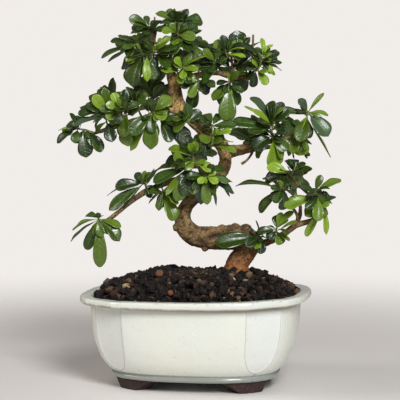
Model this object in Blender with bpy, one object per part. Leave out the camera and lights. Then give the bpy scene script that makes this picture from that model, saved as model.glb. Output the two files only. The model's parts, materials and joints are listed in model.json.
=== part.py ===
"""A small-leaved bonsai (Fukien tea) in a glazed, facet-cornered pot on four clay feet.

Everything is worked out in millimetres and turned into metres when a mesh is made.
The pot's long side lies along X. The tree is set out on a front elevation: (u, v) is a point as
an eye EYE_DISTANCE away sees it, in millimetres at the pot's middle, and the third number says how
far that point stands in front of the trunk's plane. The tree is turned by TREE_TURN in its pot.
"""
import math
import random

import bmesh
import bpy
from mathutils import Matrix, Vector
from mathutils.bvhtree import BVHTree

METRE = 0.001
GAP = 0.3                     # air left between two pieces that touch

# --- pot -------------------------------------------------------------------------------------
RING = 48                     # points round the pot
SQUARENESS = 2.7              # superellipse exponent of the pot's plan
SLIMNESS = 22.0               # half width minus half depth
FOOT_HEIGHT = 6.5
FOOT_DROP = 3.2               # the feet reach this far below the height everything is set from
RIM_HEIGHT = 80.0
RIM_LEAN = 0.02               # the hand-made rim climbs a little towards +X
FACET_TURN = math.radians(36)
FACET_DEPTH = 2.6             # how far a corner facet cuts into the round corner
FACET_LOW, FACET_HIGH = 15.0, 56.0
DRAIN_X = 36.0
DRAIN_RADIUS = 8.0
# (height, half width) up the outside, over the rim and down the inside
POT_OUTSIDE = [(6.8, 71.8), (8.2, 74.1), (10.4, 74.5), (12.0, 73.1), (14.5, 76.0), (18, 79.4),
               (23, 82.8), (29, 85.6), (37, 88.3), (47, 90.3), (60, 91.6), (72.6, 92.3)]
POT_RIM = [(73.6, 99.4), (74.8, 101.0), (78.8, 101.5), (80, 100.4), (80, 93.0), (78.8, 91.2)]
POT_INSIDE = [(74, 86.6), (60, 85.6), (40, 82.2), (24, 75.4), (16.5, 66.5), (13.5, 58.0)]
POT_FLOOR = POT_INSIDE[-1][0]
RIM_FACET_DEPTH = 2.2
INSIDE_FACET_DEPTH = 2.0

# --- feet: (height, half width of the plan they follow, angles from and to, inner share) -------
FOOT_RINGS = [(-FOOT_DROP, 68.5, 27, 54, 0.78), (FOOT_HEIGHT - 1.5, 71, 23, 66, 0.72),
              (FOOT_HEIGHT, 71.5, 22, 68, 0.71)]

# --- drainage ----------------------------------------------------------------------------------
SCREEN_HALF_WIDTH = 11.0
SCREEN_CELLS = 5
SCREEN_THICKNESS = 0.9
WIRE_RADIUS = 0.6
WIRE_LEG_X = 4.4              # half the distance between a wire's two legs
WIRE_REACH = 10.5             # its ends are bent out under the pot
WIRE_LOW = 5.4

# --- soil ------------------------------------------------------------------------------------
SOIL_EDGE_HEIGHT = 77.0
SOIL_CREST_HEIGHT = 100.5
MOUND_POWER = 0.65            # steep at the pot's edge, flatter towards the crest
SOIL_CREST = (14.0, 2.0)
SOIL_RINGS = 8
SOIL_SHAPING = 1.6            # draws the mound's rings closer together near the pot
SOIL_ROUGHNESS = 0.7
SOIL_POINTS = 36
SOIL_HEIGHTS = [14.2, 16.5, 24, 40, 60, 74]   # rings against the pot's wall
SCREEN_POCKET = (24, 24, 8.6)
SCREEN_POCKET_HEIGHT = 13.4
PELLETS = [("clay_pellet_1", -28, -22, 4.6), ("clay_pellet_2", -12, -57, 3.6),
           ("pumice_grain_1", 37, -30, 3.4), ("pumice_grain_2", -40, 38, 3.4)]

# --- how the elevation is seen -----------------------------------------------------------------
EYE_DISTANCE = 1600.0
EYE_TILT = math.radians(4.8)
EYE_AIM_U, EYE_AIM_V = 3.5, 161.3
ELEVATION_SQUASH = 0.9888     # v is measured up an upright ruler at the pot's middle
TREE_TURN = math.radians(10)

# --- wood: (u, v, in front, radius) ---------------------------------------------------------------
TRUNK = [(35, 76, 0, 12), (35.5, 90, 0, 13), (35.8, 99.5, 0, 12), (37.5, 106, 0, 9.8),
         (43.5, 114, 0, 9.4), (46.5, 121.5, 1, 9.6), (41, 126.5, 2, 10.2), (30, 128, 2, 10.6),
         (18.9, 127.6, 2, 10.4), (8.7, 127.6, 1, 10), (-1.6, 130, 0, 9.2), (-9, 136, 0, 8.4),
         (-12, 144.5, 0, 7.4), (-10, 153, 0, 6.6), (-5.5, 160, 0, 6.2), (7.9, 170.5, -2, 6.2),
         (19, 181, -4, 6), (25, 192, -4, 5.8), (25.6, 202, -2, 5.6), (20.5, 213, 0, 6),
         (10, 220.5, 2, 5.4), (1, 228, 2, 5.2), (-7, 236, 1, 5.4), (-14, 243.5, 0, 5.8),
         (-17, 252, 0, 5.6), (-19, 262, 0, 5.6), (-21, 270, 0, 5), (-24, 279, 0, 3.4),
         (-27.4, 288, 0, 2.4)]
BRANCHES = {
    "log_end": [(38, 128, 2, 8.6), (46, 131, 2, 9.2), (50.5, 132.6, 2, 6.4)],
    "log_bump": [(30, 128, 2, 6), (35, 137, 3, 4.6), (36.5, 140, 3, 2.4)],
    "log_spur": [(10, 128, 2, 6), (8, 119, 3, 3.8), (7, 115.5, 3, 1.6)],
    "elbow_knot": [(-9, 137, 0, 5), (-17.5, 136.8, 1, 4), (-20.5, 136.5, 1, 2.4)],
    "branch_stump": [(21, 212, 0, 5), (18.5, 215.5, 6, 4.4), (18, 216.5, 8, 3)],
    "low_right": [(46, 124, 4, 4), (58, 122.5, 8, 3.6), (70, 127, 12, 3), (80, 132.5, 14, 2.8),
                  (88, 138.5, 14, 2.8), (103, 143.5, 12, 2.4), (115.5, 151, 10, 2.2)],
    "low_right_riser": [(88, 139, 14, 1.8), (89.5, 147, 15, 1.5), (84, 156, 18, 1.4),
                        (78, 163, 21, 1.2), (77, 172, 24, 1.0)],
    "low_right_twig": [(107, 146.5, 12, 1.7), (108.5, 157, 18, 1.4), (90, 175, 26, 1.1),
                       (73.5, 190.8, 29, 0.9)],
    "low_left": [(6, 169, -1, 3.6), (-6, 177.5, 3, 3.4), (-20, 178.5, 6, 3), (-43, 169.5, 10, 2.6),
                 (-57, 160.5, 12, 2.4), (-68, 151, 12, 2.2), (-79, 143, 10, 1.8),
                 (-85, 141.5, 10, 1.4)],
    "middle_left": [(-12, 240, 0, 4), (-27, 240, 6, 3), (-49, 233.5, 12, 2.6),
                    (-72.6, 226.5, 14, 2.3), (-89.5, 221, 12, 1.7)],
    "middle_left_rear": [(-12, 241, 0, 3.4), (-24, 244, -14, 2.6), (-44, 244, -32, 2.2),
                         (-62, 240, -46, 1.6)],
    "middle_right": [(23, 206, -2, 4), (43, 208.5, 4, 3), (65, 213.5, 8, 2.6), (86, 218, 8, 2.2),
                     (101, 226, 6, 1.5)],
    "middle_right_rear": [(23, 199, -3, 3.4), (36, 203, -20, 2.6), (54, 207, -38, 2.2),
                          (72, 210, -52, 1.6)],
    "hanging_twig": [(51, 209.6, 6, 1.6), (49, 202.5, 8, 1.2), (45, 197, 9, 1.1),
                     (40, 193.4, 9, 1.3)],
    "low_rear": [(14, 177, -3, 3.4), (11, 185, -24, 2.6), (4, 190, -44, 2.2),
                 (-4, 194, -60, 1.6)],
    "low_right_rear": [(86, 137, 14, 2), (91, 145, 2, 1.9), (92, 156, -14, 1.7),
                       (88, 165, -30, 1.3)],
    "front_low": [(8, 171, -2, 3.2), (7, 179, 12, 2.2), (4, 186, 22, 1.6), (2, 191, 28, 1.2)],
    "front_high": [(19, 213.5, 1, 2.8), (10, 211, 12, 1.8), (6, 213, 20, 1.3),
                   (5, 220, 24, 1.0), (-3, 228, 25, 0.9)],
    "crown_right": [(-19, 265, 0, 4), (-6, 270, 1, 3.2), (6, 273.5, 1, 2.7), (19, 275, 1, 2.4),
                    (34.4, 270.5, 2, 2.3), (49.4, 272, 2, 1.6)],
    "crown_rear": [(-19, 264, 0, 3), (-10, 269, -16, 2.2), (4, 274, -34, 1.6)],
    "crown_riser": [(31, 271.5, 2, 1.6), (32, 281, 6, 1.2), (31, 290, 8, 1.0)],
    "apex_left": [(-23, 276, 0, 2.4), (-31, 288, 3, 1.8), (-34, 300, 4, 1.5), (-42, 304, 6, 1.1)],
    "apex_right": [(-25.5, 283, 0, 2), (-20, 296, 0, 1.7), (-15, 309, 1, 1.3)],
    "apex_rear": [(-22, 273, -1, 2.4), (-26, 283, -16, 1.8), (-28, 292, -30, 1.2)],
    "dead_stub": [(-36.5, 301.5, 4, 1.2), (-37, 313, 5, 0.9), (-36.5, 325, 5, 0.8)],
    "crown_stub": [(47, 271.9, 2, 1.3), (49.5, 287, 6, 0.9), (50.5, 309, 8, 0.8)],
}
TRUNK_SIDES = 10
BRANCH_SIDES = 6
ROOT_TOP = 4                  # the trunk's first points, which stand in the soil

# --- shoots ------------------------------------------------------------------------------------
# name: stem points (u, v, in front); leaves (place along the stem, tip u, v, in front, width);
# how many more leaves spiral round the stem
SHOOTS = {
    "shoot_apex_left": ([(-47, 303, 9), (-55, 299, 11)], [
        (1, -84, 288, 14, 8), (0.8, -78, 285, 4, 7), (0.9, -60, 283, 20, 8),
        (0.5, -57, 307, 14, 7), (0.6, -62, 294, -6, 9), (0.3, -40, 294, 24, 9)], 4),
    "shoot_apex_hanging": ([(-33, 294, 13), (-40, 292, 18), (-48, 290, 16)], [
        (1, -56, 262, 18, 18), (0.6, -38, 266, 14, 12), (0.6, -22, 307, 27, 9),
        (0.9, -53, 301, 24, 7), (0.8, -43, 267, 26, 7), (0.9, -66, 279, 8, 10),
        (0.3, -25, 279, 26, 9), (0.5, -17, 297, 34, 9), (0.7, -44, 304, 32, 8)], 4),
    "shoot_apex_top_left": ([(-38, 309, 7), (-41, 316, 8)], [
        (1, -56, 318, 4, 5), (1, -45, 326, 8, 5), (0.5, -33, 322, 20, 9),
        (0.6, -58, 310, 12, 7), (0.5, -27, 314, 10, 8), (0.3, -50, 303, 22, 8)], 4),
    "shoot_apex_top": ([(-15, 316, 2), (-17, 322, 2)], [
        (0.9, -36, 328, 4, 8), (1, -26, 331, -4, 6), (1, -13, 330, 4, 4),
        (0.6, 6, 320, 4, 14), (0.5, 2, 312, 14, 8), (0.8, -32, 320, -8, 8)], 4),
    "shoot_apex_right": ([(-15, 306, 11), (-17, 311, 16)], [
        (0.8, 0, 306, 24, 8), (0.6, 2, 299, 20, 10), (0.5, -6, 294, 28, 10),
        (1, -30, 311, 26, 8), (0.4, -20, 291, 30, 10)], 4),
    "shoot_apex_rosette": ([(-14, 276, 12), (-12, 279, 18)], [
        (1, -19, 288, 27, 7), (0.9, 9, 290, 24, 9), (0.7, -31, 277, 24, 8),
        (0.6, -12, 265, 26, 8), (1, 1, 277, 32, 8), (0.8, -6, 291, 18, 8)], 3),
    "shoot_apex_rear_left": ([(-42, 292, -22), (-50, 294, -30)], [], 12),
    "shoot_apex_rear_right": ([(-14, 300, -26), (-6, 304, -34)], [], 12),
    "shoot_crown_hanging": ([(1, 269, 7), (3, 268, 12)], [
        (0.5, -4, 243, 9, 11), (1, 6, 258, 14, 6), (0.9, -14, 262, 20, 8),
        (0.8, 17, 262, 18, 8)], 2),
    "shoot_crown_left": ([(17, 281, 10), (17, 286, 15)], [
        (0.5, -9, 278, 20, 10), (0.9, 6, 296, 20, 8), (0.8, 3, 284, 14, 8),
        (1, 20, 305, 16, 7), (0.6, 26, 276, 28, 9)], 5),
    "shoot_crown_riser": ([(28, 289, 13), (26, 294, 17)], [
        (0.3, 5, 265, 25, 9), (0.9, 9, 300, 12, 7), (1, 23, 309, 18, 7),
        (0.8, 43, 297, 26, 6), (0.7, 44, 289, 24, 6), (0.6, 38, 303, 22, 9)], 4),
    "shoot_crown_drop": ([(30, 266, 8), (29, 264, 13)], [
        (0.6, 15, 250, 18, 10), (0.5, 21, 246, 10, 9), (1, 27, 231, 17, 14),
        (0.7, 37, 246, 8, 10), (0.9, 42, 258, 16, 7)], 3),
    "shoot_crown_top": ([(37, 284, 2), (38, 292, 2)], [
        (1, 36, 313, 2, 14), (0.8, 48, 307, 6, 9), (0.9, 25, 303, 2, 9),
        (0.6, 52, 295, 14, 9), (0.7, 57, 303, -4, 8)], 4),
    "shoot_crown_tip": ([(54, 277, 9), (57, 283, 12), (59, 291, 10)], [
        (0.9, 40, 301, 15, 7), (1, 58, 306, 6, 5), (1, 68, 300, 10, 5), (0.9, 74, 293, 6, 7),
        (0.7, 76, 284, 10, 7), (0.6, 76, 277, 2, 6), (0.5, 70, 273, 12, 7),
        (0.3, 62, 264, 18, 8), (0.4, 46, 277, 26, 9), (0.2, 37, 277, 12, 9),
        (0.7, 66, 291, 24, 8), (0.2, 50, 262, 4, 7)], 4),
    "shoot_crown_rear_left": ([(4, 281, -26), (2, 288, -30)], [], 12),
    "shoot_crown_rear_right": ([(32, 278, -14), (38, 284, -24)], [], 12),
    "shoot_left_tip": ([(-98, 224, 14), (-106, 225, 15)], [
        (1, -123, 212, 16, 9), (0.9, -107, 212, 24, 8), (0.6, -97, 199, 18, 12),
        (0.2, -84, 204, 18, 10), (0.8, -114, 229, 4, 7), (0.4, -92, 212, -6, 9)], 4),
    "shoot_left_rise": ([(-79, 231, 20), (-79, 238, 17), (-77, 243, 10)], [
        (0.5, -108, 227, 30, 12), (0.7, -104, 238, 20, 9), (0.3, -74, 213, 28, 10),
        (0.4, -64, 233, 34, 9), (0.8, -103, 244, 4, 9), (1, -82, 256, 8, 6),
        (1, -73, 254, 12, 6), (0.9, -91, 249, -4, 8), (0.8, -66, 246, 22, 8)], 4),
    "shoot_left_broad": ([(-62, 238, 20), (-66, 243, 24)], [
        (1, -80, 247, 30, 7), (0.7, -63, 217, 30, 13), (0.4, -80, 219, 16, 10),
        (0.8, -50, 247, 30, 8), (0.3, -60, 209, 18, 11)], 5),
    "shoot_left_inner": ([(-42, 238, 20), (-38, 240, 26)], [
        (0.8, -58, 220, 32, 12), (0.9, -40, 206, 26, 13), (1, -26, 235, 34, 9),
        (1, -21, 252, 32, 12), (0.5, -58, 205, 20, 9), (0.6, -51, 252, 24, 9)], 4),
    "shoot_left_under": ([(-33, 235, 13), (-31, 232, 17)], [
        (1, -6, 214, 16, 14), (0.6, -15, 224, 6, 9), (0.7, -22, 213, 22, 9)], 4),
    "shoot_left_crest": ([(-52, 244, 4), (-57, 252, 4)], [
        (1, -74, 256, 4, 6), (0.9, -62, 262, 10, 8), (1, -47, 263, -4, 8),
        (0.6, -43, 256, 10, 9), (0.7, -66, 247, 6, 9), (0.5, -35, 247, 4, 9)], 5),
    "shoot_left_rear": ([(-70, 243, -44), (-76, 245, -48)], [], 12),
    "shoot_left_rear_inner": ([(-38, 250, -34), (-38, 257, -38)], [], 12),
    "shoot_centre_rosette": ([(8, 183, 33), (10, 182, 37)], [
        (1, 19, 176, 42, 8), (0.9, 2, 176, 42, 6), (0.6, 29, 177, 38, 8), (0.4, 34, 167, 26, 9),
        (0.3, 4, 157, 24, 9), (0.5, 10, 157, 34, 8), (0.4, 18, 156, 28, 7),
        (0.2, 30, 164, 14, 8), (0.7, -9, 182, 40, 8)], 4),
    "shoot_centre_left": ([(-6, 190, 25), (-10, 192, 26)], [
        (0.9, -38, 177, 26, 11), (1, -36, 188, 18, 8), (0.7, -35, 171, 20, 10),
        (0.6, -27, 165, 28, 7), (0.4, -18, 160, 30, 11), (0.8, -20, 202, 34, 9)], 5),
    "shoot_centre_heart": ([(-2, 197, 31), (-4, 203, 32)], [
        (0.7, -30, 192, 24, 12), (0.8, -24, 208, 20, 9), (0.5, -9, 188, 40, 7),
        (0.4, 13, 186, 40, 10), (1, 2, 212, 40, 9), (0.9, -12, 212, 26, 9)], 6),
    "shoot_centre_tip": ([(-8, 231, 28), (-11, 233, 29)], [
        (1, -17, 237, 31, 5), (0.9, -6, 239, 32, 6), (0.5, 4, 241, 22, 9),
        (0.6, -20, 223, 28, 8)], 3),
    "shoot_centre_right": ([(13, 208, 18), (15, 217, 21), (14, 228, 19)], [
        (0.25, 36, 204, 28, 8), (0.4, 33, 213, 28, 6), (0.6, 31, 222, 32, 8),
        (0.3, 4, 202, 30, 9), (0.9, -1, 236, 14, 8), (1, 24, 238, 12, 9), (1, 36, 228, 24, 9),
        (0.6, 4, 214, 34, 10)], 4),
    "shoot_right_fan": ([(67, 223, 11), (68, 229, 12)], [
        (1, 48, 253, 14, 11), (0.9, 67, 250, 8, 12), (0.8, 43, 245, 18, 4),
        (0.9, 50, 242, 24, 5), (0.6, 32, 231, 16, 11), (1, 81, 243, 10, 10),
        (0.5, 46, 222, 24, 12)], 4),
    "shoot_right_broad": ([(67, 219, 18), (68, 217, 22)], [
        (0.6, 50, 207, 22, 15), (1, 67, 191, 22, 16), (0.4, 53, 199, 10, 11),
        (0.8, 81, 206, 24, 12), (0.5, 83, 225, 24, 10)], 4),
    "shoot_right_tip": ([(98, 235, 9), (99, 240, 10)], [
        (0.9, 117, 218, 18, 15), (0.4, 119, 199, 12, 10), (1, 117, 237, 4, 6),
        (1, 113, 257, 8, 4), (1, 90, 251, 16, 8), (0.8, 73, 242, 10, 7),
        (0.6, 92, 213, 22, 13), (0.9, 103, 249, 16, 4)], 3),
    "shoot_right_under": ([(90, 221, 12), (92, 223, 16)], [
        (0.4, 84, 203, 14, 11), (0.7, 93, 201, 12, 12), (0.9, 74, 229, 22, 10),
        (0.6, 76, 236, 4, 9)], 4),
    "shoot_right_rear": ([(80, 213, -56), (84, 216, -60)], [], 12),
    "shoot_right_rear_inner": ([(52, 214, -40), (50, 221, -42)], [], 12),
    "shoot_low_rear": ([(-5, 201, -65), (-2, 206, -67)], [], 12),
    "shoot_low_right_rear": ([(84, 170, -35), (82, 176, -38)], [], 12),
    "shoot_low_right_crest": ([(84, 184, 31), (86, 187, 32)], [
        (1, 97, 194, 34, 9), (0.9, 82, 198, 26, 12), (0.6, 61, 178, 24, 11),
        (0.4, 96, 180, 20, 9)], 3),
    "shoot_low_right_long": ([(77, 172, 29), (75, 171, 32)], [
        (1, 35, 174, 30, 11), (0.8, 60, 181, 20, 10), (0.6, 56, 150, 28, 12),
        (0.7, 38, 155, 24, 10), (0.9, 84, 176, 42, 6), (0.5, 90, 160, 20, 9)], 3),
    "shoot_low_right_outer": ([(113, 155, 20), (109, 163, 25), (105, 169, 28)], [
        (1, 128, 180, 20, 9), (0.9, 92, 176, 32, 6), (0.7, 78, 155, 32, 12),
        (0.5, 117, 167, 14, 9), (0.4, 117, 156, 26, 7), (0.35, 96, 147, 24, 11),
        (0.3, 104, 143, 30, 8), (0.3, 103, 172, 2, 9), (0.2, 97, 129, 16, 6)], 3),
    "shoot_low_right_knot": ([(71, 133, 16), (71, 136, 19)], [
        (1, 86, 151, 22, 7), (0.9, 71, 148, 14, 7), (0.7, 54, 133, 20, 7),
        (0.4, 74, 121, 20, 9), (0.5, 89, 142, 26, 6)], 2),
    "shoot_low_right_spur": ([(57, 128, 11), (57, 128.5, 14)], [
        (0.5, 57, 113, 16, 8), (0.9, 17, 122, 20, 14), (0.8, 63, 127, 22, 6),
        (0.7, 53, 143, 10, 3)], 1),
    "shoot_trail_tip": ([(-86, 144, 13), (-86, 145, 16)], [
        (0.7, -85, 101, 16, 11), (0.5, -97, 117, 12, 9), (0.9, -109, 134, 18, 10),
        (0.4, -111, 124, 8, 7), (1, -97, 148, 8, 7), (0.3, -76, 130, 8, 4),
        (1, -87, 150, 16, 5), (0.8, -66, 137, 18, 8)], 1),
    "shoot_trail_base": ([(-45, 175, 12), (-47, 176, 13)], [
        (0.9, -77, 152, 14, 10), (1, -79, 165, 6, 5), (0.7, -52, 182, 10, 6),
        (0.5, -40, 163, 16, 6), (0.3, -34, 189, 6, 8)], 2),
    "shoot_trail_inner": ([(-30, 172, 12), (-29, 169, 15)], [
        (0.6, -31, 154, 16, 8), (1, -19, 143, 20, 12), (0.8, -17, 157, 26, 7),
        (0.7, -42, 158, 6, 7)], 3),
}
STEM_RADIUS = 1.0
STEM_LIFT = 2.2               # a stem leaves the wood square before it bends away
STEM_SIDES = 4
STEM_RINGS_PER_LEAF = 0.5
STALK_START = 0.35            # share of the stalk that lies too near its stem to be tested
LEAST_FACING = 0.25           # a leaf leaves its face at least this square
FACING_WORTH = 2.0            # mm that a leaf's place may slip to leave a face squarely
FACES_TRIED = 6
LEAF_THICKNESS = 0.7
LEAF_FOLD = 0.12              # how deep the blade folds along its midrib, by width
PETIOLE_SHARE = 0.14          # share of the leaf's length that is stalk
WIDEST_SHARE = 0.62
PETIOLE_RADIUS = 0.45
GOLDEN_ANGLE = math.radians(137.5)
SPIRAL_LENGTH = (19.0, 29.0)  # leaves of a shoot that is all spiral
FILLING_LENGTH = (14.0, 21.0) # smaller ones among leaves placed by hand
CLEARANCE = 0.35
# how far a leaf's tip may move to stay clear of its neighbours: (u, v, in front)
NUDGES = [(0, 0, 0), (0, 0, 4), (0, 0, -4), (0, 0, 8), (0, 0, -8), (1, -2, 4), (-1, 2, -4),
          (0, 2, 12), (0, -2, -12), (2, 2, 6), (-2, -2, 6), (2, -2, -6), (-2, 2, 16),
          (3, 3, -14), (-3, -3, 14), (4, -1, 9), (-4, 1, -9), (0, 4, 18), (0, -4, -18)]

COLOURS = {                   # linear colour, roughness, metallic
    "glaze": ((0.72, 0.76, 0.68), 0.22, 0.0),
    "foot_clay": ((0.12, 0.06, 0.05), 0.85, 0.0),
    "screen": ((0.03, 0.05, 0.03), 0.6, 0.0),
    "wire": ((0.75, 0.75, 0.77), 0.35, 1.0),
    "soil": ((0.02, 0.013, 0.01), 0.95, 0.0),
    "clay_pellet": ((0.42, 0.16, 0.06), 0.9, 0.0),
    "pumice": ((0.5, 0.42, 0.25), 0.9, 0.0),
    "bark": ((0.28, 0.16, 0.07), 0.85, 0.0),
    "leaf": ((0.045, 0.14, 0.02), 0.35, 0.0),
}


# --- meshes and materials ----------------------------------------------------------------------
def material(name):
    """The named finish, made on first use."""
    found = bpy.data.materials.get(name)
    if found:
        return found
    colour, roughness, metallic = COLOURS[name]
    made = bpy.data.materials.new(name)
    made.use_nodes = True
    shader = made.node_tree.nodes["Principled BSDF"]
    shader.inputs["Base Color"].default_value = (*colour, 1.0)
    shader.inputs["Roughness"].default_value = roughness
    shader.inputs["Metallic"].default_value = metallic
    made.diffuse_color = (*colour, 1.0)
    return made


def piece(name, bm, finish, smooth=None):
    """Turn a mesh in millimetres into an object in metres."""
    bmesh.ops.scale(bm, vec=(METRE, METRE, METRE), verts=bm.verts)
    mesh = bpy.data.meshes.new(name)
    bm.to_mesh(mesh)
    bm.free()
    if smooth is not None:
        mesh.shade_smooth()
        mesh.set_sharp_from_angle(angle=math.radians(smooth))
    made = bpy.data.objects.new(name, mesh)
    bpy.context.scene.collection.objects.link(made)
    mesh.materials.append(material(finish))
    return made


def guide(name, bm):
    """A shape that only cuts or joins another one."""
    made = piece(name, bm, "bark")
    made.hide_render = True
    made.display_type = "WIRE"
    return made


def boolean(target, tool, operation):
    step = target.modifiers.new(tool.name, "BOOLEAN")
    step.operation = operation
    step.solver = "EXACT"
    step.use_self = operation == "UNION"      # a line that bends sharply crosses itself
    step.object = tool


def loft(rings, bm=None):
    """One closed skin through rings of points, each turning left about the way it travels."""
    bm = bm or bmesh.new()
    first = [bm.verts.new(point) for point in rings[0]]
    cap = bm.faces.new(first)
    for ring in rings[1:]:
        cap = bmesh.ops.extrude_discrete_faces(bm, faces=[cap])["faces"][0]
        for vert, point in zip(cap.verts, ring):
            vert.co = point
    bm.faces.new(reversed(first))
    return bm


# --- pot, feet and drainage --------------------------------------------------------------------
def reach(half_width, half_depth, direction):
    """How far a superellipse reaches in a direction."""
    power = SQUARENESS / (SQUARENESS - 1)
    along = (half_width * abs(direction.x)) ** power + (half_depth * abs(direction.y)) ** power
    return along ** (1 / power)


def plan_point(half_width, half_depth, angle):
    """A point of the pot's plan before its corners are cut."""
    c, s = math.cos(angle), math.sin(angle)
    power = 2 / SQUARENESS
    return Vector((half_width * math.copysign(abs(c) ** power, c),
                   half_depth * math.copysign(abs(s) ** power, s)))


def plan(half_width, cut, count=RING):
    """The pot's plan at one height: a squarish oval with its four corners planed flat."""
    half_depth = half_width - SLIMNESS
    points = []
    for step in range(count):
        point = plan_point(half_width, half_depth, math.tau * step / count)
        side = Vector((math.copysign(math.sin(FACET_TURN), point.x),
                       math.copysign(math.cos(FACET_TURN), point.y)))
        over = point.dot(side) - (reach(half_width, half_depth, side) - cut)
        points.append(point - side * max(over, 0.0))
    return points


def at_height(points, height):
    """Lift a plan to its height, with the rim's slight lean."""
    lean = RIM_LEAN * height / RIM_HEIGHT
    return [Vector((p.x, p.y, height + p.x * lean)) for p in points]


def facet_cut(height):
    """Facets end in a round foot low on the wall."""
    drop = (FACET_HIGH - height) / (FACET_HIGH - FACET_LOW)
    return FACET_DEPTH * max(0.0, 1 - max(drop, 0.0) ** 3.5)


def make_pot():
    rings = [at_height(plan(w, facet_cut(z)), z) for z, w in POT_OUTSIDE]
    rings += [at_height(plan(w, RIM_FACET_DEPTH), z) for z, w in POT_RIM]
    rings += [at_height(plan(w, INSIDE_FACET_DEPTH), z) for z, w in POT_INSIDE]
    pot = piece("pot", loft(rings), "glaze", smooth=35)
    for side in (-1, 1):
        bm = bmesh.new()
        bmesh.ops.create_cone(bm, cap_ends=True, segments=12, radius1=DRAIN_RADIUS,
                              radius2=DRAIN_RADIUS, depth=30,
                              matrix=Matrix.Translation((side * DRAIN_X, 0, 10)))
        boolean(pot, guide(f"drain_cutter_{side:+d}", bm), "DIFFERENCE")


def foot_ring(half_width, start, end, inner, height, side_x, side_y):
    """A band of the pot's plan between two angles, which each foot follows."""
    half_depth = half_width - SLIMNESS
    angles = [math.radians(start + (end - start) * step / 4) for step in range(5)]
    outer_arc = [plan_point(half_width, half_depth, a) for a in angles]
    inner_arc = [plan_point(half_width * inner, half_depth * inner, a) for a in reversed(angles)]
    ring = [Vector((p.x * side_x, p.y * side_y, height)) for p in outer_arc + inner_arc]
    return ring if side_x * side_y > 0 else ring[::-1]


def make_feet():
    for end, side_y in (("front", -1), ("back", 1)):
        for hand, side_x in (("left", -1), ("right", 1)):
            rings = [foot_ring(half_width, start, stop, inner, height, side_x, side_y)
                     for height, half_width, start, stop, inner in FOOT_RINGS]
            piece(f"foot_{end}_{hand}", loft(rings), "foot_clay")


def make_drainage():
    """A plastic screen over each drain hole, held by a bent wire."""
    floor = POT_FLOOR + 3 * GAP
    ceiling = floor + SCREEN_THICKNESS
    for hand, side in (("left", -1), ("right", 1)):
        bm = bmesh.new()
        bmesh.ops.create_grid(bm, x_segments=SCREEN_CELLS, y_segments=SCREEN_CELLS,
                              size=SCREEN_HALF_WIDTH)
        cells = sorted(bm.faces, key=lambda f: (round(f.calc_center_median().y, 3),
                                                round(f.calc_center_median().x, 3)))
        open_cells = [f for index, f in enumerate(cells)
                      if index // SCREEN_CELLS % 2 and index % SCREEN_CELLS % 2]
        bmesh.ops.delete(bm, geom=open_cells, context="FACES_ONLY")
        sheet = bmesh.ops.extrude_face_region(bm, geom=bm.faces[:])["geom"]
        bmesh.ops.translate(bm, vec=(0, 0, -SCREEN_THICKNESS),
                            verts=[v for v in sheet if isinstance(v, bmesh.types.BMVert)])
        bmesh.ops.recalc_face_normals(bm, faces=bm.faces)
        bmesh.ops.translate(bm, vec=(side * DRAIN_X, 0, ceiling), verts=bm.verts)
        piece(f"drain_screen_{hand}", bm, "screen")
        top = ceiling + GAP + WIRE_RADIUS
        path = [(-WIRE_REACH, WIRE_LOW), (-WIRE_LEG_X, WIRE_LOW), (-WIRE_LEG_X, top),
                (WIRE_LEG_X, top), (WIRE_LEG_X, WIRE_LOW), (WIRE_REACH, WIRE_LOW)]
        bends = [Vector((side * DRAIN_X + x, WIRE_LEG_X, z)) for x, z in path]
        wire = tube(bends, [WIRE_RADIUS] * len(bends), 6)
        piece(f"screen_wire_{hand}", loft(wire), "wire", smooth=60)


# --- soil --------------------------------------------------------------------------------------
def soil_height(share):
    return SOIL_EDGE_HEIGHT + (SOIL_CREST_HEIGHT - SOIL_EDGE_HEIGHT) * share ** MOUND_POWER


def soil_plan(height):
    """The soil's plan against the pot's inner wall."""
    profile = POT_INSIDE[::-1]
    for (z0, w0), (z1, w1) in zip(profile, profile[1:]):
        if height <= z1:
            break
    half_width = w0 + (w1 - w0) * (height - z0) / (z1 - z0)
    return plan(half_width - 1.5 * GAP, INSIDE_FACET_DEPTH, SOIL_POINTS)


def make_soil():
    edge = soil_plan(SOIL_HEIGHTS[-1])
    rings = [at_height(soil_plan(z), z) for z in SOIL_HEIGHTS]
    crest = Vector(SOIL_CREST)
    wobble = random.Random(4)
    for step in range(SOIL_RINGS):
        share = (step / SOIL_RINGS) ** SOIL_SHAPING
        rough = SOIL_ROUGHNESS if step else 0.0
        rings.append([Vector((*p.lerp(crest, share * 0.97),
                              soil_height(share) + wobble.uniform(-rough, rough)))
                      for p in edge])
    surface = loft(rings)
    ground = BVHTree.FromBMesh(surface)
    soil = piece("soil", surface, "soil")
    root = [(place(u, v, f), r + GAP + 0.2) for u, v, f, r in TRUNK[:ROOT_TOP + 2]]
    root.insert(0, (root[0][0] - Vector((0, 0, 2 * GAP)), root[0][1]))
    hole = tube([p for p, _ in root], [r for _, r in root], TRUNK_SIDES)
    boolean(soil, guide("root_cutter", loft(hole)), "DIFFERENCE")
    for side in (-1, 1):
        bm = bmesh.new()
        bmesh.ops.create_cube(bm, size=1)
        bmesh.ops.scale(bm, vec=SCREEN_POCKET, verts=bm.verts)
        bmesh.ops.translate(bm, vec=(side * DRAIN_X, 0, SCREEN_POCKET_HEIGHT), verts=bm.verts)
        boolean(soil, guide(f"screen_pocket_{side:+d}", bm), "DIFFERENCE")
    return ground


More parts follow.
